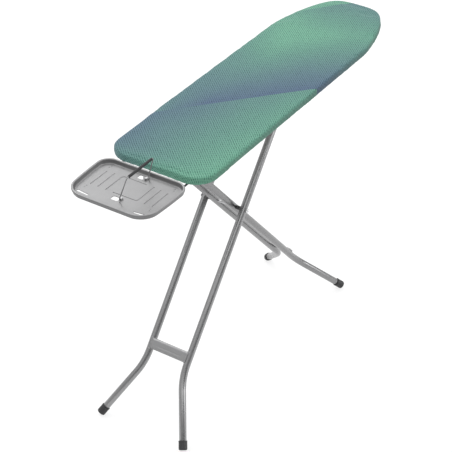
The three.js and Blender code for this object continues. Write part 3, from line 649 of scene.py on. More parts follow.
def board_outline(step=5.5):
    end = resample(np.array([[0, 0], [0, HALF - CORNER]], float), step)
    a = np.linspace(0, math.pi / 2, int(CORNER * math.pi / 2 / step) + 1)
    arc = np.stack([CORNER - CORNER * np.cos(a), HALF - CORNER + CORNER * np.sin(a)], 1)
    side = resample(np.array([[CORNER, HALF], [860, HALF]], float), step)
    nose = resample(catmull(NOSE), step)
    half = np.vstack([end[:-1], arc[:-1], side[:-1], nose])
    lower = half[::-1][1:-1] * np.array([1, -1])
    return np.vstack([half, lower])  # square end, +y side, nose, -y side


def smooth_normals(line, passes=2):
    t = np.roll(line, -1, 0) - np.roll(line, 1, 0)
    t /= np.linalg.norm(t, axis=1)[:, None]
    n = np.stack([t[:, 1], -t[:, 0]], 1)  # inward for this direction of travel
    for _ in range(passes):
        n = n + 0.5 * (np.roll(n, 1, 0) + np.roll(n, -1, 0))
        n /= np.linalg.norm(n, axis=1)[:, None]
    return n


OUT = board_outline()
NIN = smooth_normals(OUT)
if (NIN[len(OUT) // 4] @ (np.array([500, 0]) - OUT[len(OUT) // 4])) < 0:
    NIN = -NIN
ARC = np.concatenate([[0], np.cumsum(np.linalg.norm(np.diff(OUT, axis=0), axis=1))])
TURN = 1 - np.abs((np.roll(NIN, -3, 0) * np.roll(NIN, 3, 0)).sum(1))
TURN = np.clip(np.convolve(np.concatenate([TURN[-12:], TURN, TURN[:12]]), np.ones(25) / 25, "same")[12:-12] * 60, 0, 1)
SPINE = (78.0, 1068.0)


def at_inset(d, z, line=OUT, n=NIN):
    d = np.broadcast_to(d, (len(line),))
    p = line + n * d[:, None]
    return np.column_stack([p, np.broadcast_to(z, (len(line),))])


def plateau(ring, rows, zfun):
    """Rows of points from a ring to the centre line."""
    q = np.stack([np.clip(ring[:, 0], *SPINE), np.zeros(len(ring))], 1)
    out = []
    for k in range(1, rows + 1):
        t = k / rows
        xy = (1 - t) * ring[:, :2] + t * q
        out.append(np.column_stack([xy, zfun(t, xy)]))
    return out


def ripple(xy, seed, scale, amp, count=14):
    """Low smooth waves, the same each run."""
    rng = np.random.default_rng(seed)
    z = np.zeros(len(xy))
    for _ in range(count):
        th = rng.uniform(0, 2 * math.pi)
        k = 2 * math.pi / (scale * rng.uniform(0.6, 1.7))
        z += np.sin((xy[:, 0] * math.cos(th) + xy[:, 1] * math.sin(th)) * k + rng.uniform(0, 6.28))
    return amp * z / math.sqrt(count)


# ------------------------------------------------------------------ cover
def pucker(seed, lo, hi, count=60):
    """Gathers along the hem: a sum of short waves around the outline."""
    rng = np.random.default_rng(seed)
    L = ARC[-1] + np.linalg.norm(OUT[0] - OUT[-1])
    w = np.zeros(len(OUT))
    for _ in range(count):
        n = int(rng.uniform(L / hi, L / lo))
        w += rng.uniform(0.4, 1.0) * np.cos(2 * math.pi * n * ARC / L + rng.uniform(0, 6.28))
    return w / math.sqrt(count)


def build_cover():
    s = Shell()
    g1, g2, g3 = pucker(11, 12, 34), pucker(12, 26, 70), pucker(13, 16, 40)
    amp = 0.35 + 0.95 * TURN
    # (inset, z, weight of the gathers, weight on z)
    prof = [(18.2, 873.4, 1.0, .7), (18.9, 872.2, 1.0, .7), (18.2, 871.1, 1.0, .7), (16.9, 870.7, 1.0, .6), (15.0, 871.2, .9, .5),
            (12.6, 871.0, .8, .5), (9.6, 870.8, .7, .4), (7.2, 870.8, .6, .3)]
    for a in np.linspace(12, 90, 6):
        a = math.radians(a)
        prof.append((6 - 6 * math.sin(a), 876.8 - 6 * math.cos(a), 0.55 - 0.25 * math.sin(a), 0.1))
    for k in range(1, 5):
        prof.append((0.0 - 0.35 * math.sin(math.pi * k / 5), 876.8 + (888.4 - 876.8) * k / 5, 0.30 - 0.06 * k, 0.0))
    for b in np.linspace(0, 90, 8):
        b = math.radians(b)
        prof.append((6.6 - 6.6 * math.cos(b), 888.4 + 6.6 * math.sin(b), 0.04, 0.0))
    rings = []
    for i, (d, z, w, wz) in enumerate(prof):
        drift = d + w * (amp * g1 + 0.4 * g2)
        zz = z + wz * amp * g3 * 0.6
        rings.append(s.ring(at_inset(drift, zz)))
    for a, b in zip(rings, rings[1:]):
        s.bridge(a, b)
    last = np.array([s.v[i] for i in rings[-1]])

    def top(t, xy):
        rise = 0.75 * math.sin(math.pi / 2 * min(1, t * 1.6))
        edge = min(1.0, t * 5)
        return 895.0 + rise + edge * (ripple(xy, 5, 120.0, 0.16) + ripple(xy, 6, 46.0, 0.07))

    prev = rings[-1]
    for r in plateau(last, 26, top):
        cur = s.ring(r)
        s.bridge(prev, cur)
        prev = cur
    return s


cover = make("cover_sheet", *(lambda s: (s.v, s.f))(build_cover()), CLOTH, "board", "cover", "cover_cloth", angle=75, merge=5e-5)


def settle_cloth(o, cap):
    """A short cloth run lets the skirt and top take soft folds; the hem row is held by its drawstring."""
    me = o.data
    rest = np.array([v.co for v in me.vertices], float)
    zmm = rest[:, 2] * 1000.0 - OZ
    hold = o.vertex_groups.new(name="hold")
    for i, z in enumerate(zmm):
        w = 1.0 if z < 871.6 else 0.0
        if w:
            hold.add([i], w, "REPLACE")
    c = o.modifiers.new("cloth", "CLOTH")
    c.settings.quality = 6
    c.settings.mass = 0.25
    c.settings.tension_stiffness = 22
    c.settings.compression_stiffness = 22
    c.settings.shear_stiffness = 8
    c.settings.bending_stiffness = 0.4
    c.settings.vertex_group_mass = "hold"
    c.settings.shrink_min = -0.012
    c.settings.use_pressure = True
    c.settings.uniform_pressure_force = 1.2
    c.settings.effector_weights.gravity = 0.0
    c.collision_settings.use_collision = False
    c.collision_settings.use_self_collision = False
    c.point_cache.frame_start, c.point_cache.frame_end = 1, 20
    for f in range(1, 17):
        scene.frame_set(f)
    dg = bpy.context.evaluated_depsgraph_get()
    ev = o.evaluated_get(dg)
    got = np.array([v.co for v in ev.data.vertices], float)
    move = got - rest
    far = np.linalg.norm(move, axis=1)
    move *= np.minimum(1.0, cap / np.maximum(far, 1e-9))[:, None]
    o.modifiers.remove(c)
    o.vertex_groups.clear()
    scene.frame_set(1)
    me.vertices.foreach_set("co", (rest + move).astype(np.float32).ravel())
    me.update()


settle_cloth(cover, 0.0012)
sol = cover.modifiers.new("thickness", "SOLIDIFY")
sol.thickness = 0.0011
sol.offset = -1.0

# ------------------------------------------------------------------ foam and felt pad
def build_pad():
    s = Shell()
    prof = [(8.2, 888.85), (5.6, 889.2), (4.6, 890.2), (4.35, 891.0), (4.6, 891.9), (5.5, 892.8), (7.8, 893.15)]
    rings = [s.ring(at_inset(d, z)) for d, z in prof]
    for a, b in zip(rings, rings[1:]):
        s.bridge(a, b)
    for ring, z0, seed, sg in ((rings[0], 888.85, 21, -1), (rings[-1], 893.15, 22, 1)):
        first = np.array([s.v[i] for i in ring])
        prev = ring
        for r in plateau(first, 16, lambda t, xy: z0 + sg * 0.10 * min(1, t * 6) + ripple(xy, seed, 60.0, 0.05)):
            cur = s.ring(r)
            s.bridge(prev, cur)
            prev = cur
    return s


pad = make("foam_felt", *(lambda s: (s.v, s.f))(build_pad()), FELT, "board", "foam_pad", "padding", angle=60, merge=5e-5)


# ------------------------------------------------------------------ expanded-metal top
def inside(poly, pts):
    x, y = pts[:, 0], pts[:, 1]
    hit = np.zeros(len(pts), bool)
    a, b = poly, np.roll(poly, -1, 0)
    for (x0, y0), (x1, y1) in zip(a, b):
        if y0 == y1:
            continue
        c = ((y0 > y) != (y1 > y)) & (x < (x1 - x0) * (y - y0) / (y1 - y0) + x0)
        hit ^= c
    return hit


def build_mesh_top():
    hx, hy = 9.0, 4.6  # half of the long and short way of a diamond
    border = OUT + NIN * 5.5
    inner = OUT + NIN * 16.0
    s = Shell()
    nodes = {}
    zt, zb = 888.45, 887.45

    def node(i, j):
        if (i, j) not in nodes:
            nodes[(i, j)] = s.ring([(i * hx, j * hy, zt), (i * hx, j * hy, zb)])
        return nodes[(i, j)]

    cells = [(i, j) for i in range(0, int(1150 / hx) + 1) for j in range(-int(166 / hy), int(166 / hy) + 1) if (i + j) % 2]
    keep = []
    corners = []
    for i, j in cells:
        corners += [((i - 1) * hx, j * hy), ((i + 1) * hx, j * hy), (i * hx, (j - 1) * hy), (i * hx, (j + 1) * hy)]
    ok = inside(border, np.array(corners)).reshape(-1, 4).all(1)
    used = set()
    for (i, j), good in zip(cells, ok):
        if good:
            keep.append((i, j))
            used.add((i, j))
    fx, fy = 1 - 2.6 / hx, 1 - 1.35 / hy
    for i, j in keep:
        ring = [node(i - 1, j), node(i, j - 1), node(i + 1, j), node(i, j + 1)]
        cx, cy = i * hx, j * hy
        hole = [(cx - hx * fx, cy), (cx, cy - hy * fy), (cx + hx * fx, cy), (cx, cy + hy * fy)]
        lift = [0.0, -0.28, 0.0, 0.28]
        ht = s.ring([(x, y, zt + l) for (x, y), l in zip(hole, lift)])
        hb = s.ring([(x, y, zb + l) for (x, y), l in zip(hole, lift)])
        for k in range(4):
            n = (k + 1) % 4
            s.f.append((ring[k][0], ring[n][0], ht[n], ht[k]))
            s.f.append((ring[n][1], ring[k][1], hb[k], hb[n]))
            s.f.append((ht[k], ht[n], hb[n], hb[k]))
        for k, (di, dj) in enumerate(((-1, -1), (1, -1), (1, 1), (-1, 1))):
            if (i + di, j + dj) not in used:
                n = (k + 1) % 4
                s.f.append((ring[n][0], ring[k][0], ring[k][1], ring[n][1]))
    return s


make("mesh_top", *(lambda s: (s.v, s.f))(build_mesh_top()), MESH_PAINT, "board", "top_panel", "expanded_metal", angle=20, merge=1e-7)

# ------------------------------------------------------------------ perimeter tube
rim_line = resample(np.vstack([OUT + NIN * 9.6, (OUT + NIN * 9.6)[:1]]), 7.0)
rp = np.vstack([[rim_line[0][0], 0.35], rim_line[1:-1], [rim_line[0][0], -0.35]])
rp3 = np.column_stack([rp, np.full(len(rp), 879.5)])
rt = np.gradient(rp3, axis=0)
rt[0] = rt[-1] = (0, 1, 0)
rim_st = [(p, unit(t)) for p, t in zip(rp3, rt)]
make("rim_tube", *(lambda s: (s.v, s.f))(tube(rim_st, 7.5, 32, bore=6.4, chamfer=0.3)), GREY, "board", "board_rim", "grey_enamel", angle=40)

# ------------------------------------------------------------------ leg frames
AXLE = np.array([351.4, 0, 573.2])
T_TOP, A_TOP = np.array([107.9, 0, 848.4]), np.array([574.0, 0, 848.4])
A_Y, T_Y = 67.5, 31.0
LEGS = {
    "t": (T_TOP, (730.5, 31.0, 144.7), (849.0, 147.5, 8.8), 150.0, T_Y, "t_frame"),
    "a": (A_TOP, (17.5, 67.5, 160.4), (-105.7, 151.5, 7.9), 200.0, A_Y, "a_frame"),
}


def cap_profile():
    out = fillet2([(0, 28.0), (9.6, 28.0), (12.6, 26.2), (13.0, 22.5), (13.0, 2.4), (13.35, 1.9), (13.35, 0.0), (11.5, 0.0)], [2.0, 2.6, 2.0, 0.2, 0.3, 0.3], 6)
    return out + [(11.3, 0.6), (11.3, 10.0), (0, 10.0)]


def ribbed(rr, h, ang):
    # shallow grip flutes round the lower half
    k = max(0.0, min(1.0, (h - 4.0) / 3.0)) * max(0.0, min(1.0, (22.5 - h) / 3.0))
    return rr - 0.22 * k * (0.5 + 0.5 * np.cos(ang * 28)) if rr[0] > 12.9 else rr


leg_dirs = {}
for key, (top, knee, foot, bend, y, body) in LEGS.items():
    for side, s in (("left", 1), ("right", -1)):
        k = np.array([knee[0], s * knee[1], knee[2]])
        f = np.array([foot[0], s * foot[1], foot[2]])
        up = unit(np.array([top[0], 0, top[2]]) - np.array([knee[0], 0, knee[2]]))
        start = np.array([top[0], 0, top[2]]) + up * 12
        start[1] = s * y
        fd = unit(f - k)
        st = fillet_path([start, k, f - fd * 6.3], [bend], 26)
        make(f"{key}_leg_{side}", *(lambda q: (q.v, q.f))(tube(st, 11.0, 48, bore=9.8, chamfer=0.35)), GREY_T_SHADED if key == "t" else GREY, body, f"{key}_tube_{side}", "grey_enamel", angle=40)
        prof = cap_profile()
        make(f"{key}_ferrule_{side}", *(lambda q: (q.v, q.f))(lathe(prof, f - fd * 28, fd, 84, mod=ribbed)), BLACK, body, f"{key}_foot_cap_{side}", "black_plastic", angle=50)
        leg_dirs[key] = -up


def cross_tube(name, node, along, face, centre, half, width, thick, offset, groove, body, mat, slot):
    """Flattened tube between two legs. Its ends wrap on to the legs; groove is the depth of the pressed crease."""
    s = Shell()
    w, t = width / 2, thick / 2
    lateral = np.array([0, 1.0, 0])
    base = []
    for a in np.linspace(-math.pi / 2, math.pi / 2, 13):
        base.append((w - t + t * math.cos(a), t * math.sin(a)))
    for u in np.linspace(w - t, -(w - t), 25)[1:-1]:
        base.append((u, t))
    for a in np.linspace(math.pi / 2, 3 * math.pi / 2, 13):
        base.append((-w + t + t * math.cos(a), t * math.sin(a)))
    for u in np.linspace(-(w - t), w - t, 25)[1:-1]:
        base.append((u, -t))
    base = np.array(base)
    ys = np.concatenate([[-half], np.linspace(-half + 0.6, half - 0.6, 61), [half]])
    rings = []
    for y in ys:
        end = max(0.0, (abs(y) - (half - 7)) / 7)
        k = 1.0 if abs(y) < half else 0.94
        g = groove * max(0.0, min(1.0, (46 - abs(y)) / 14)) if groove else 0.0
        pts = base.copy()
        front = pts[:, 1] > 0
        pts[:, 1] = np.where(front, pts[:, 1] - g * np.exp(-((pts[:, 0] - 3.0) / 1.5) ** 2), pts[:, 1])
        # the ends are pressed a little to sit on the round legs
        pts[:, 1] = pts[:, 1] * (1 - 0.12 * end)
        pts = pts * k
        rings.append(s.ring([centre + face * offset + along * u + face * v + lateral * y for u, v in pts]))
    for a, b in zip(rings, rings[1:]):
        s.bridge(a, b)
    s.cap(rings[0])
    s.cap(rings[-1])
    return make(name, s.v, s.f, mat, body, node, slot, angle=32)


aD = unit(np.array([17.5, 0, 160.4]) - AXLE)
tD = unit(np.array([730.5, 0, 144.7]) - AXLE)
faceA = np.array([-abs(aD[2]), 0, abs(aD[0])])
faceT = np.array([abs(tD[2]), 0, abs(tD[0])])
cA, cT = AXLE + aD * 470, AXLE + tD * 501
cross_tube("a_cross_plate", "a_crossbar", aD, faceA, cA, A_Y - 3.5, 34.0, 12.0, 6.6, 0.7, "a_frame", GREY_FLAT, "grey_enamel")
cross_tube("t_cross_plate", "t_tie_plate", tD, faceT, cT, T_Y + 5.5, 31.0, 9.0, 10.2, 0.0, "t_frame", GREY_FLAT, "grey_enamel")


def bead(name, pts, r, body, seed):
    """A lumpy weld run through points."""
    rng = np.random.default_rng(seed)
    line = resample(np.array(pts, float), 0.8)
    t = np.gradient(line, axis=0)
    t = t / np.linalg.norm(t, axis=1)[:, None]
    us = transport(list(t))
    s = Shell()
    sides = 12
    ang = np.arange(sides) / sides * 2 * math.pi
    rings = []
    n = len(line)
    for i, (p, tt, u) in enumerate(zip(line, t, us)):
        end = math.sin(math.pi * min(1, max(0.03, (i + 0.5) / n))) ** 0.4
        rr = r * end * (1 + 0.16 * math.sin(i * 1.6) + 0.06 * rng.uniform(-1, 1))
        v = np.cross(tt, u)
        rings.append(s.ring(p + rr * (np.cos(ang)[:, None] * u + np.sin(ang)[:, None] * v)))
    for a, b in zip(rings, rings[1:]):
        s.bridge(a, b)
    s.cap(rings[0])
    s.cap(rings[-1])
    return s


def beads_for(centre, along, face, leg_y, span, thick_out, body, name, parent_slot="grey_enamel"):
    s = Shell()
    k = 0
    for sy in (1, -1):
        for su in (1, -1):
            pts = []
            for a in np.linspace(math.radians(20), math.radians(95), 10):
                # round the leg, from its inner side to its front, at the plate's edge
                pts.append(centre + along * su * (span / 2 + 0.2) + np.array([0, sy * (leg_y - 11.2 * math.cos(a)), 0]) + face * 11.2 * math.sin(a))
            s.merge(bead("", pts, 1.5, body, 40 + k))
            k += 1
    return make(name, s.v, s.f, GREY, body, (), parent_slot, angle=60)


beads_for(cA, aD, faceA, A_Y, 34.0, 12.6, "a_frame", "a_weld_beads")
beads_for(cT, tD, faceT, T_Y, 31.0, 14.7, "t_frame", "t_weld_beads")

# ------------------------------------------------------------------ axle, nut, spacers, pins
s = rod_y(AXLE[0], AXLE[2], -83, 79.4, 4.0)
s.merge(lathe(fillet2([(0, 0), (6.6, 0), (6.6, 1.7), (4.8, 3.5), (0, 4.4)], [0.4, 0.9, 1.5], 5), (AXLE[0], 78.8, AXLE[2]), (0, 1, 0)))
make("axle_pin", s.v, s.f, ZINC, "t_frame", "axle", "plated_steel")


def hexed(rr, h, ang):
    if 0.2 < h < 3.9 and rr[0] > 6:
        a = (ang + math.pi / 6) % (math.pi / 3) - math.pi / 6
        return np.minimum(rr, 6.15 / np.cos(a))
    return rr


nutp = [(4.3, 5.2), (4.3, 0.0), (6.2, 0.0), (7.0, 0.5), (7.0, 1.0), (7.0, 3.4), (6.0, 4.0)] + [(5.4 * math.cos(a), 4.0 + 3.2 * math.sin(a)) for a in np.linspace(0.0, math.pi / 2, 9)]
make("dome_nut", *(lambda q: (q.v, q.f))(lathe([(0, 5.2)] + nutp, (AXLE[0], -78.8, AXLE[2]), (0, -1, 0), 72, mod=hexed)), NUT, "t_frame", "axle_nut", "bright_nut", angle=30)
for side, sg in (("left", 1), ("right", -1)):
    a, b = 42.3, 56.2
    prof = fillet2([(4.6, a + 0.6), (4.6, a), (6.2, a), (6.2, b), (4.6, b), (4.6, b - 0.6)], [0, 0.6, 0.6, 0], 5)
    make(f"axle_washer_{side}", *(lambda q: (q.v, q.f))(lathe(prof, (AXLE[0], 0, AXLE[2]), (0, sg, 0), 56, closed=True)), BLACK, "t_frame", f"axle_spacer_{side}", "black_plastic")
    prof = fillet2([(0, 6.4), (4.3, 6.4), (4.3, 0.0), (7.5, 0.0), (7.5, 4.5), (5.9, 6.9), (0, 7.6)], [0.2, 0.2, 0.5, 1.5, 1.5], 5)
    make(f"pivot_button_{side}", *(lambda q: (q.v, q.f))(lathe(prof, (T_TOP[0], sg * 46.9, T_TOP[2]), (0, sg, 0), 48)), BLACK, "board", f"pivot_cap_{side}", "black_plastic")
    prof = fillet2([(4.5, 81.6), (4.5, 81.0), (7.0, 81.0), (7.0, 92.4), (4.5, 92.4), (4.5, 91.8)], [0, 0.7, 0.7, 0], 5)
    make(f"glide_roller_{side}", *(lambda q: (q.v, q.f))(lathe(prof, (A_TOP[0], 0, A_TOP[2]), (0, sg, 0), 48, closed=True)), BLACK, "a_frame", f"glide_{side}", "black_plastic")
prof = fillet2([(4.5, -19.0), (4.5, -19.6), (7.0, -19.6), (7.0, 19.6), (4.5, 19.6), (4.5, 19.0)], [0, 0.6, 0.6, 0], 5)
make("pivot_sleeve", *(lambda q: (q.v, q.f))(lathe(prof, (T_TOP[0], 0, T_TOP[2]), (0, 1, 0), 48, closed=True)), BLACK, "t_frame", "pivot_spacer", "black_plastic")
make("pivot_pin", *(lambda q: (q.v, q.f))(rod_y(T_TOP[0], T_TOP[2], -53, 53, 4.0)), ZINC, "board", "pivot_rod", "plated_steel")
make("glide_pin", *(lambda q: (q.v, q.f))(rod_y(A_TOP[0], A_TOP[2], -92, 92, 4.0)), ZINC, "a_frame", "glide_rod", "plated_steel")
make("latch_pivot", *(lambda q: (q.v, q.f))(rod_y(534, 866.2, -15.5, 15.5, 2.5, 0.4)), ZINC, "board", "latch_pin", "plated_steel")
make("lever_rod", *(lambda q: (q.v, q.f))(rod_y(867, 862.4, -9, 138, 4.0)), ZINC, "latch", "lever_bar", "plated_steel")

gp = np.array([(4.3, 38.5), (4.3, 0.0), (6.4, 0.0), (7.4, 0.5), (8.2, 2), (8.6, 6)], float)
bumps = [(8.0 - 0.45 + 0.45 * math.cos((h - 6) / 30 * 2 * math.pi * 3), h) for h in np.linspace(6.8, 35.2, 40)]
gp = [(0, 38.5), *gp.tolist(), *bumps, (8.5, 36.6), (8.2, 39.8), (7.3, 41.8), (5.2, 43.0), (2.5, 43.35), (0, 43.4)]
make("lever_handle", *(lambda q: (q.v, q.f))(lathe(gp, (867, 100, 862.4), (0, 1, 0), 48)), BLACK, "latch", "lever_grip", "black_plastic", angle=45)

# torsion spring round the latch pin
st = []
turn_pts = []
for i in range(3 * 28 + 1):
    u = i / 28
    turn_pts.append(np.array([534 + 5.2 * math.sin(u * 2 * math.pi), 4.3 + 1.8 * u, 866.2 + 5.2 * math.cos(u * 2 * math.pi)]))
turn_pts = np.array(turn_pts)
tt = np.gradient(turn_pts, axis=0)
tt /= np.linalg.norm(tt, axis=1)[:, None]
st = [(turn_pts[0] - tt[0] * 14, tt[0])] + [(p, t) for p, t in zip(turn_pts, tt)] + [(turn_pts[-1] + tt[-1] * 12, tt[-1])]
make("latch_torsion_spring", *(lambda q: (q.v, q.f))(tube(st, 0.75, 14, chamfer=0.15)), SPRING, "board", "latch_spring", "spring_wire", angle=60)

# ------------------------------------------------------------------ tray support wire
RZ = 867.0
st = fillet_path([(172, 105.5, RZ), (-72, 105.5, RZ), (-112, 58, RZ), (-190, 58, RZ), (-190, -58, RZ), (-112, -58, RZ), (-72, -105.5, RZ), (172, -105.5, RZ)], [14] * 6, 14)
make("tray_frame_wire", *(lambda q: (q.v, q.f))(tube(st, 3.0, 28, chamfer=0.7)), WIRE, "board", "tray_rod", "dark_wire", angle=50)

# ------------------------------------------------------------------ iron tray
TRAY_TOP, TRAY_FLOOR, TRAY_UNDER = 893.2, 880.2, 878.2


def tray_outline(n=16):
    pts = []
    xo, xi, wo, wi = -222, -25, 132.5, 139.5

    def arc(cx, cy, r, a0, a1):
        for i in range(n + 1):
            a = math.radians(a0 + (a1 - a0) * i / n)
            pts.append((cx + r * math.cos(a), cy + r * math.sin(a)))

    arc(xo + 54, -(wo - 52), 54, 180, 267)
    arc(xi - 38, -(wi - 38), 38, 273, 360)
    arc(xi - 38, wi - 38, 38, 0, 87)
    arc(xo + 54, wo - 52, 54, 93, 180)
    line = np.array(pts)
    # finer points on the long runs, and the short sides swell a little
    closed = np.vstack([line, line[:1]])
    fine = resample(closed, 4.0)[:-1]
    fine[:, 1] += np.sign(fine[:, 1]) * 3.0 * np.sin(math.pi * np.clip((fine[:, 0] - xo) / (xi - xo), 0, 1)) * np.clip(np.abs(fine[:, 1]) / 110.0, 0, 1) ** 2
    return fine


def tray_body():
    line = tray_outline()
    n = -smooth_normals(line, 1)
    if (n[len(line) // 3] @ (np.array([-120, 0]) - line[len(line) // 3])) < 0:
        n = -n
    s = Shell()
    prof = [(7.5, 878.2), (5.2, 878.25), (3.7, 878.8), (2.9, 879.9), (2.6, 881.6), (2.5, 884.0), (2.45, 885.6), (2.2, 886.2), (1.4, 886.5),
            (0.5, 886.7), (0.1, 887.2), (0.0, 887.9), (0.0, 890.4)]
    prof += [(3.2 - 3.2 * math.cos(a), 891.1 + 2.15 * math.sin(a)) for a in np.linspace(0.12, math.pi - 0.2, 13)]
    prof += [(6.7, 889.6), (7.3, 886.5), (8.0, 883.2), (8.6, 881.6), (9.5, 880.7), (10.8, 880.27), (12.2, 880.2)]
    rings = [s.ring(at_inset(d, z, line, n)) for d, z in prof]
    for a, b in zip(rings, rings[1:]):
        s.bridge(a, b)
    s.cap(rings[0])
    s.cap(rings[-1])
    return s


def capsule(path, r, z, steps=20):
    """A round-ended groove cutter along a polyline lying at height z."""
    P = [np.array([x, y, z], float) for x, y in path]
    rad = [9.0] * (len(P) - 2)
    st = fillet_path(P, rad, 8) if len(P) > 2 else [(P[0], unit(P[1] - P[0])), (P[1], unit(P[1] - P[0]))]
    s = Shell()
    tans = [t for _, t in st]
    us = transport(tans, np.array([0, 0, 1.0]))
    ang = np.arange(steps) / steps * 2 * math.pi
    rings = []

    def circ(p, t, u, rr):
        return s.ring(p + rr * (np.cos(ang)[:, None] * u + np.sin(ang)[:, None] * np.cross(t, u)))

    (p0, t0), (p1, t1) = st[0], st[-1]
    for a in np.linspace(math.radians(84), 0, 6):
        rings.append(circ(p0 - t0 * r * math.sin(a), t0, us[0], r * math.cos(a)))
    for (p, t), u in zip(st[1:-1], us[1:-1]):
        rings.append(circ(p, t, u, r))
    for a in np.linspace(0, math.radians(84), 6):
        rings.append(circ(p1 + t1 * r * math.sin(a), t1, us[-1], r * math.cos(a)))
    for a, b in zip(rings, rings[1:]):
        s.bridge(a, b)
    s.cap(rings[0])
    s.cap(rings[-1])
    return s


def prism(points, z0, z1, rad=1.6, draft=0.5):
    """Upright cutter with rounded corners, slightly wider at the top."""
    P = [np.array(p, float) for p in points]
    n = len(P)
    loop = []
    for i in range(n):
        a, b, c = P[i - 1], P[i], P[(i + 1) % n]
        d0, d1 = unit(b - a), unit(c - b)
        ang = math.acos(max(-1, min(1, float(d0 @ d1))))
        cut = min(rad * math.tan(ang / 2), 0.45 * np.linalg.norm(b - a), 0.45 * np.linalg.norm(c - b))
        s0, s1 = b - d0 * cut, b + d1 * cut
        for k in range(5):
            t = k / 4
            loop.append((1 - t) ** 2 * s0 + 2 * t * (1 - t) * b + t * t * s1)
    loop = np.array(loop)
    mid = loop.mean(0)
    s = Shell()
    a = s.ring(np.column_stack([loop, np.full(len(loop), z0)]))
    wide = mid + (loop - mid) * (1 + draft / 20)
    b = s.ring(np.column_stack([wide, np.full(len(loop), z1)]))
    s.bridge(a, b)
    s.cap(a)
    s.cap(b)
    return s


def carve(o, shells):
    """Cuts closed shells out of an object, one boolean each, and keeps the result as plain mesh."""
    cutters = []
    for i, s in enumerate(shells):
        me = bpy.data.meshes.new("cut")
        me.from_pydata(W(s.v).tolist(), [], [tuple(int(k) for k in f) for f in s.f])
        bm = bmesh.new()
        bm.from_mesh(me)
        bmesh.ops.remove_doubles(bm, verts=bm.verts, dist=1e-6)
        bmesh.ops.recalc_face_normals(bm, faces=bm.faces)
        bm.to_mesh(me)
        bm.free()
        c = bpy.data.objects.new("cut", me)
        scene.collection.objects.link(c)
        cutters.append(c)
    for c in cutters:
        m = o.modifiers.new("cut", "BOOLEAN")
        m.operation, m.object, m.solver = "DIFFERENCE", c, "EXACT"
    bpy.context.view_layer.update()
    dg = bpy.context.evaluated_depsgraph_get()
    done = bpy.data.meshes.new_from_object(o.evaluated_get(dg), depsgraph=dg)
    o.modifiers.clear()
    old = o.data
    o.data = done
    bpy.data.meshes.remove(old)
    for c in cutters:
        d = c.data
        bpy.data.objects.remove(c)
        bpy.data.meshes.remove(d)


tray = make("tray_moulding", *(lambda s: (s.v, s.f))(tray_body()), TRAY, "board", "tray", "tray_plastic", angle=28)
GR, GZ = 1.75, TRAY_FLOOR + 0.2
grooves = [
    [(-147, 100.5), (-76, 100.5)], [(-147, 76), (-73, 76)], [(-147, -76), (-73, -76)], [(-147, -100.5), (-76, -100.5)],
    [(-148, 49.5), (-70, 49.5), (-70, -26)], [(-70, -52), (-147.5, -52), (-147.5, 25)],
    [(-177, -18), (-189, -33.5)], [(-46, -18), (-60, -31.5)],
]
cuts = [capsule(g, GR, GZ) for g in grooves]
cuts += [capsule([(x - 0.8, y), (x + 0.8, y)], 1.7, TRAY_FLOOR + 0.5, 16) for x, y in
         [(-55.5, 107), (-47, 105), (-167, 106), (-159, 104), (-55.5, -107), (-47, -105), (-167, -106), (-159, -104)]]
holes = [
    [(-176, -5), (-172, -8.5), (-160, -8.5), (-158.5, -6), (-158.5, 11), (-161, 14.5), (-173, 14.5), (-176, 11)],
    [(-56, -4.3), (-54.5, -5.0), (-40.2, 4.6), (-39, 6.8), (-39, 12), (-41, 14.5), (-54, 14.5), (-56, 12)],
    [(-195.5, 74), (-190.5, 74), (-185.5, 112), (-191, 114.5), (-193.5, 113)],
    [(-190.5, -74), (-195.5, -74), (-193.5, -106), (-191, -108), (-186, -106)],
]
cuts += [prism(h, TRAY_UNDER - 4, TRAY_FLOOR + 4) for h in holes]
carve(tray, cuts)
shade(tray, 28)

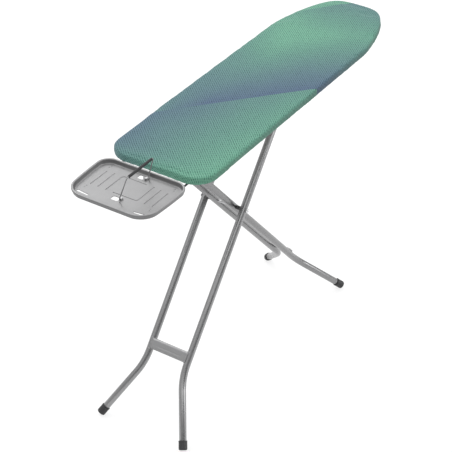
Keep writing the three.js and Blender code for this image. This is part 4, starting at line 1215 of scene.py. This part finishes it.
# ------------------------------------------------------------------ wire rest
HY, HZ = -12.5, 883.2
st = fillet_path([(-157.6, HY, HZ), (-172.6, HY, HZ), (-165.5, -36.3, 956.3), (-46.7, -36.3, 956.3), (-39.6, HY, HZ), (-54.6, HY, HZ)], [4, 7, 7, 4], 12)
make("rest_wire", *(lambda q: (q.v, q.f))(tube(st, 1.5, 22, chamfer=0.4)), REST_WIRE, "hoop", "hoop_wire", "dark_wire", angle=50)
prof = fillet2([(2.1, 0.8), (2.1, 0), (4.0, 0), (4.0, 102.8), (2.1, 102.8), (2.1, 102.0)], [0, 0.9, 0.9, 0], 5)
make("rest_sleeve", *(lambda q: (q.v, q.f))(lathe(prof, (-157.5, -36.3, 956.3), (1, 0, 0), 36, closed=True)), SLEEVE, "hoop", "hoop_sleeve", "sleeve_rubber")

# small coil that keeps the rest upright, round its rear foot
coil = []
for i in range(0, 181):
    a = 2 * math.pi * i / 30
    coil.append(np.array([-57.2 + 8.4 * i / 180, HY + 2.45 * math.cos(a), HZ + 2.45 * math.sin(a)]))
coil = [coil[0] + np.array([-0.2, 6.5 - 6.5 * k / 6, -0.9 + 0.9 * k / 6]) for k in range(6)] + coil
coil += [coil[-1] + np.array([0.0, -1.1 * k, -0.35 * k]) for k in range(1, 6)]
coil = np.array(coil)
ct = np.gradient(coil, axis=0)
make("rest_spring", *(lambda q: (q.v, q.f))(tube([(p, unit(t)) for p, t in zip(coil, ct)], 0.45, 12, chamfer=0.1)), SPRING, "board", slot="plated_steel", angle=60)

# ------------------------------------------------------------------ CAD nodes that stay
for n in ("cross_member_1", "cross_member_2", "cross_member_3", "cross_member_4", "pivot_bracket", "rail_left", "rail_right", "latch_bracket"):
    dress(n, GREY_FLAT, 0.3)
dress("latch_rack", ZINC, 0.4)
for n in list(NODES):
    if "_rivet_" in n:
        dress(n, ZINC, 0.0)
for n in ("rod_clamp_1", "rod_clamp_2", "rod_clamp_3", "rod_clamp_4", "tray_clip_1", "tray_clip_2", "tray_clip_3", "tray_clip_4"):
    dress(n, CLIP, 0.8)
for n in ("hoop_clip_front", "hoop_clip_rear"):
    dress(n, LUG, 0.5)

bpy.context.view_layer.update()
